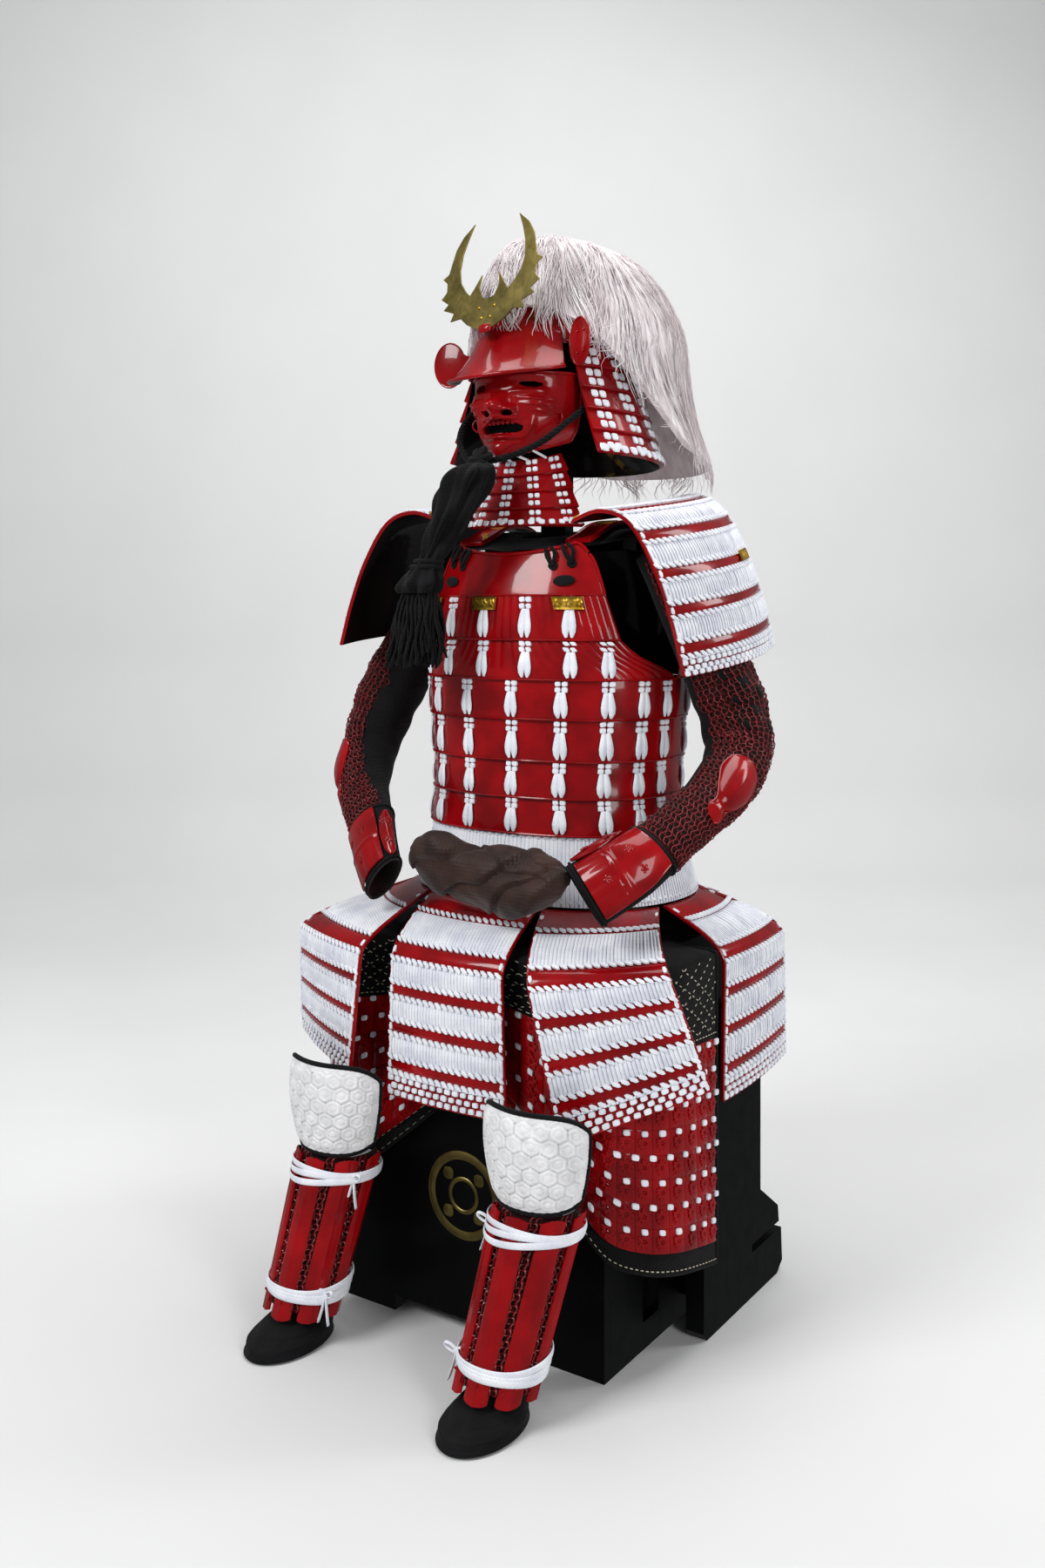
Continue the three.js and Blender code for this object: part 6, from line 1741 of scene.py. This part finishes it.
def make_boot(leg, name):
    """Soft black cloth boot on a flat sole, creased over the instep, with a seam down the middle."""
    cloth = Cloth()
    z_rows = np.concatenate([np.linspace(0.0, 34, 26), np.linspace(36, 111.5, 20)])
    turn = np.linspace(0, 2 * math.pi, 73)[:-1]
    width, length, back = (along(BOOT_RINGS, z_rows, column) for column in (1, 2, 3))
    z = z_rows[:, None]
    forward = np.cos(turn)[None, :]
    upper = np.clip((z - 8) / 20, 0, 1)
    ankle = 1.3 * np.sin(z * 0.55 + 4 * np.sin(turn) + 1.2 * forward) * np.clip(forward + 0.5, 0, 1)
    crease = ankle * upper + 0.9 * np.sin(turn * 9 + z * 0.2) * upper
    sole = 2.4 * bump(z, 4, 4)
    seam = -1.2 * bump(np.abs(np.angle(np.exp(1j * turn)))[None, :], 0, 0.05) * upper
    reach = 1 + (crease + sole - 3.2 + seam) / 60
    body = np.stack([leg.ankle_x + width[:, None] * np.sin(turn) * reach,
                     leg.ankle_y + back[:, None] - length[:, None] * np.cos(turn) * reach,
                     np.broadcast_to(z, (len(z_rows), len(turn)))], -1)
    cloth.grid(body, 0, around=True)
    for end, flip in ((0, True), (-1, False)):
        middle = body[end].mean(0)
        steps = np.array([1.0, 0.6, 0.25, 0.02])[:, None, None]
        cloth.grid(middle + (body[end] - middle) * steps, 0, around=True, flip=flip)
    cloth.tube(body[3], 1.6, 6, 0, loop=True)
    cloth.piece("boot_cloth_" + name, chosen("cloth"), "black_cloth", ("boot_" + name,))


def make_box():
    """Gives the boards of the box and the stand their lacquer, and lays a gilt ornament on the front."""
    for node in sorted(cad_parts):
        if node.startswith("box_") or node == "stand_post":
            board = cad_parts[node]
            board.data.materials.clear()
            board.data.materials.append(MATERIALS["box"])
    cloth = Cloth()
    front = lambda x, z, lift: np.stack([np.asarray(x, float), -BOX_HALF - 0.4 - np.asarray(lift, float),
                                         np.asarray(z, float)], -1)
    middle_x, middle_z = -8.0, 196.0
    turn, radius = np.meshgrid(np.linspace(0, 2 * math.pi, 73)[:-1], np.linspace(0, 1, 6))
    for inner, outer in ((50, 62), (20, 26)):
        reach = inner + (outer - inner) * radius
        lift = 0.5 + 1.3 * np.sin(math.pi * radius)
        ring = front(middle_x + reach * np.cos(turn), middle_z + reach * np.sin(turn), lift)
        flat = front(middle_x + reach * np.cos(turn), middle_z + reach * np.sin(turn), 0 * lift)
        cloth.shell(ring, flat, 0, 0, around=True)
    for number in range(4):
        heading = math.pi / 4 + number * math.pi / 2
        s, t = grid_of(10, 14)
        reach = 28 + 19 * t
        half = 9.5 * np.sin(math.pi * np.clip(t, 0.02, 0.98)) ** 0.7
        beside = (2 * s - 1) * half
        x = middle_x + reach * math.cos(heading) - beside * math.sin(heading)
        z = middle_z + reach * math.sin(heading) + beside * math.cos(heading)
        lift = 0.5 + 1.4 * np.sin(math.pi * s) * np.sin(math.pi * t)
        cloth.shell(front(x, z, lift), front(x, z, 0 * lift), 0)
    cloth.piece("box_ornament", chosen("gilt"), "brass", sharp=40)
    seams = Cloth()
    edge = BOX_HALF - 0.6
    for z in (BOX_TOP - 1.5, BOX_TOP - 59.0):
        ring = np.array([(-edge, -edge, z), (edge, -edge, z), (edge, edge, z), (-edge, edge, z)])
        path = np.concatenate([np.linspace(a, b, 12, endpoint=False)
                               for a, b in zip(ring, np.roll(ring, -1, 0))])
        seams.tube(path, 1.6, 6, 0, loop=True)
    seams.piece("box_lid_beads", chosen("box"), "box_wood")


CAMERA_AT = (1159.7, -1805.1, 1022.0)
CAMERA_AZIMUTH = 34.0
CAMERA_LENS = 32.0
# the photo's horizon lies this share of its height above its middle
HORIZON_SHARE = 200 / 1800


def soft_light(name, at, towards, size, power, colour="#FFFFFF"):
    data = bpy.data.lights.new(name, "AREA")
    data.shape = "RECTANGLE"
    data.size, data.size_y = size
    data.energy = power
    data.color = linear(colour)[:3]
    lamp = bpy.data.objects.new(name, data)
    lamp.location = Vector(at)
    lamp.rotation_euler = (Vector(towards) - Vector(at)).to_track_quat("-Z", "Y").to_euler()
    bpy.context.scene.collection.objects.link(lamp)


def make_stage():
    material, tree, shader = surface("pale studio floor", "#D8D8D8", 0.85, Specular_IOR_Level=0.1)
    varied(tree, shader, ("#D7D7D7", "#D9D9D9"), 400, 2.0)
    mesh = bpy.data.meshes.new("studio_floor")
    rows = [(-6.0, 0.0), (2.2, 0.0), (2.8, 0.08), (3.2, 0.35), (3.4, 0.9), (3.4, 5.0)]
    turned = Matrix.Rotation(math.radians(CAMERA_AZIMUTH), 3, "Z")
    points = [turned @ Vector((x, y, z)) for y, z in rows for x in (-9.0, 9.0)]
    faces = [[2 * i, 2 * i + 1, 2 * i + 3, 2 * i + 2] for i in range(len(rows) - 1)]
    mesh.from_pydata([tuple(p) for p in points], [], faces)
    mesh.materials.append(material)
    mesh.polygons.foreach_set("use_smooth", [True] * len(faces))
    floor = bpy.data.objects.new("studio_floor", mesh)
    bpy.context.scene.collection.objects.link(floor)
    floor.visible_glossy = False
    floor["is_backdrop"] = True

    world = bpy.data.worlds.new("studio air")
    bpy.context.scene.world = world
    world.use_nodes = True
    world.node_tree.nodes["Background"].inputs["Color"].default_value = linear("#E8EBEF")
    world.node_tree.nodes["Background"].inputs["Strength"].default_value = 0.2
    bpy.context.scene.view_settings.view_transform = "Standard"
    behind = turned @ Vector((0, 1.2, 3.95))
    soft_light("backdrop softbox", behind, turned @ Vector((0, 3.4, 1.7)), (4.0, 0.8), 36)
    soft_light("key softbox", (-1.1, -3.0, 3.1), (0, 0, 0.9), (1.5, 1.5), 102)
    soft_light("fill softbox", (3.2, -1.6, 1.9), (0, 0, 0.9), (1.0, 2.2), 49)
    soft_light("top softbox", (0.2, 0.6, 3.9), (0, 0, 0.8), (2.4, 2.4), 82)
    soft_light("rim softbox", (2.4, 2.2, 2.6), (0, 0, 1.0), (0.8, 2.0), 34)

    camera_data = bpy.data.cameras.new("studio camera")
    camera_data.lens = CAMERA_LENS
    camera_data.sensor_width = 36.0
    camera_data.shift_y = -HORIZON_SHARE
    camera_data.clip_end = 50
    camera = bpy.data.objects.new("studio camera", camera_data)
    camera.location = Vector(np.array(CAMERA_AT) / 1000 + SHIFT)
    camera.rotation_euler = (math.radians(90), 0, math.radians(CAMERA_AZIMUTH))
    bpy.context.scene.collection.objects.link(camera)
    bpy.context.scene.camera = camera


class ARMOUR_OT_finish(bpy.types.Operator):
    """Make the lacquer, silk, mail, cloth, hair and wood finishes"""
    bl_idname = "armour.finish"
    bl_label = "Finishes"

    def execute(self, context):
        make_materials(context.scene.armour_finish)
        return {"FINISHED"}


class ARMOUR_OT_cuirass(bpy.types.Operator):
    """Lay the ribbed lames, lacing and fittings over the cuirass and its shoulders"""
    bl_idname = "armour.cuirass"
    bl_label = "Cuirass"

    def execute(self, context):
        make_cuirass()
        make_shoulders()
        return {"FINISHED"}


class ARMOUR_OT_tassets(bpy.types.Operator):
    """Lace the apron and the seven tassets"""
    bl_idname = "armour.tassets"
    bl_label = "Tassets"

    def execute(self, context):
        make_tassets(context.scene.armour_sizes.cord * 1000)
        return {"FINISHED"}


class ARMOUR_OT_sode(bpy.types.Operator):
    """Lace the two shoulder guards"""
    bl_idname = "armour.sode"
    bl_label = "Shoulder guards"

    def execute(self, context):
        make_sode(context.scene.armour_sizes.cord * 1000)
        return {"FINISHED"}


class ARMOUR_OT_sleeves(bpy.types.Operator):
    """Cover the sleeves with mail and tie their plates on"""
    bl_idname = "armour.sleeves"
    bl_label = "Sleeves"

    def execute(self, context):
        make_sleeves(context.scene.armour_sizes.ring * 1000)
        return {"FINISHED"}


class ARMOUR_OT_helmet(bpy.types.Operator):
    """Form the bowl, peak, ear plates, neck guard and crest"""
    bl_idname = "armour.helmet"
    bl_label = "Helmet"

    def execute(self, context):
        make_helmet()
        return {"FINISHED"}


class ARMOUR_OT_mask(bpy.types.Operator):
    """Form the mask and its throat guard, plait the cord and hang the tassel"""
    bl_idname = "armour.mask"
    bl_label = "Mask and cord"

    def execute(self, context):
        make_mask()
        make_cord_and_tassel(context.scene.armour_sizes.tassel)
        return {"FINISHED"}


class ARMOUR_OT_mane(bpy.types.Operator):
    """Grow the mane over the helmet"""
    bl_idname = "armour.mane"
    bl_label = "Mane"

    def execute(self, context):
        make_mane(context.scene.armour_sizes.strands)
        return {"FINISHED"}


class ARMOUR_OT_waist(bpy.types.Operator):
    """Roll the sash and plate the thigh guards"""
    bl_idname = "armour.waist"
    bl_label = "Sash and thigh guards"

    def execute(self, context):
        make_sash()
        make_thigh_guards()
        return {"FINISHED"}


class ARMOUR_OT_legs(bpy.types.Operator):
    """Quilt the knees, set the splints, tie the bands and shape the boots"""
    bl_idname = "armour.legs"
    bl_label = "Legs"

    def execute(self, context):
        for name, row in LEGS.items():
            leg = Leg(row)
            make_knee(leg, name)
            make_shin(leg, name, context.scene.armour_sizes.ring * 1000)
            make_boot(leg, name)
        return {"FINISHED"}


class ARMOUR_OT_box(bpy.types.Operator):
    """Lacquer the storage box and the stand"""
    bl_idname = "armour.box"
    bl_label = "Storage box"

    def execute(self, context):
        make_box()
        return {"FINISHED"}


class ARMOUR_OT_stage(bpy.types.Operator):
    """Set the floor, the lights and the camera"""
    bl_idname = "armour.stage"
    bl_label = "Stage"

    def execute(self, context):
        make_stage()
        return {"FINISHED"}


STEPS = (ARMOUR_OT_stage, ARMOUR_OT_finish, ARMOUR_OT_box, ARMOUR_OT_cuirass, ARMOUR_OT_tassets,
         ARMOUR_OT_sode, ARMOUR_OT_sleeves, ARMOUR_OT_helmet, ARMOUR_OT_mask, ARMOUR_OT_mane,
         ARMOUR_OT_waist, ARMOUR_OT_legs)


class ARMOUR_PT_panel(bpy.types.Panel):
    """Sizes, finishes and building steps of the suit"""
    bl_idname = "ARMOUR_PT_panel"
    bl_label = "Armour"
    bl_space_type = "VIEW_3D"
    bl_region_type = "UI"
    bl_category = "Armour"

    def draw(self, context):
        layout = self.layout
        for group in (context.scene.armour_sizes, context.scene.armour_finish):
            for name in type(group).__annotations__:
                layout.prop(group, name)
        for step in STEPS:
            layout.operator(step.bl_idname)


CLASSES = (ArmourFinish, ArmourSizes, *STEPS, ARMOUR_PT_panel)


def register():
    for item in CLASSES:
        bpy.utils.register_class(item)
    bpy.types.Scene.armour_finish = PointerProperty(type=ArmourFinish)
    bpy.types.Scene.armour_sizes = PointerProperty(type=ArmourSizes)


def unregister():
    del bpy.types.Scene.armour_sizes
    del bpy.types.Scene.armour_finish
    for item in reversed(CLASSES):
        bpy.utils.unregister_class(item)


def main():
    register()
    for step in STEPS:
        group, name = step.bl_idname.split(".")
        getattr(getattr(bpy.ops, group), name)()
    corners = lambda bounds: [list(map(float, corner)) for corner in bounds]
    sizes = {"cad": corners(CAD_BOUNDS), "visual": corners(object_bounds())}


if __name__ == "__main__":
    main()
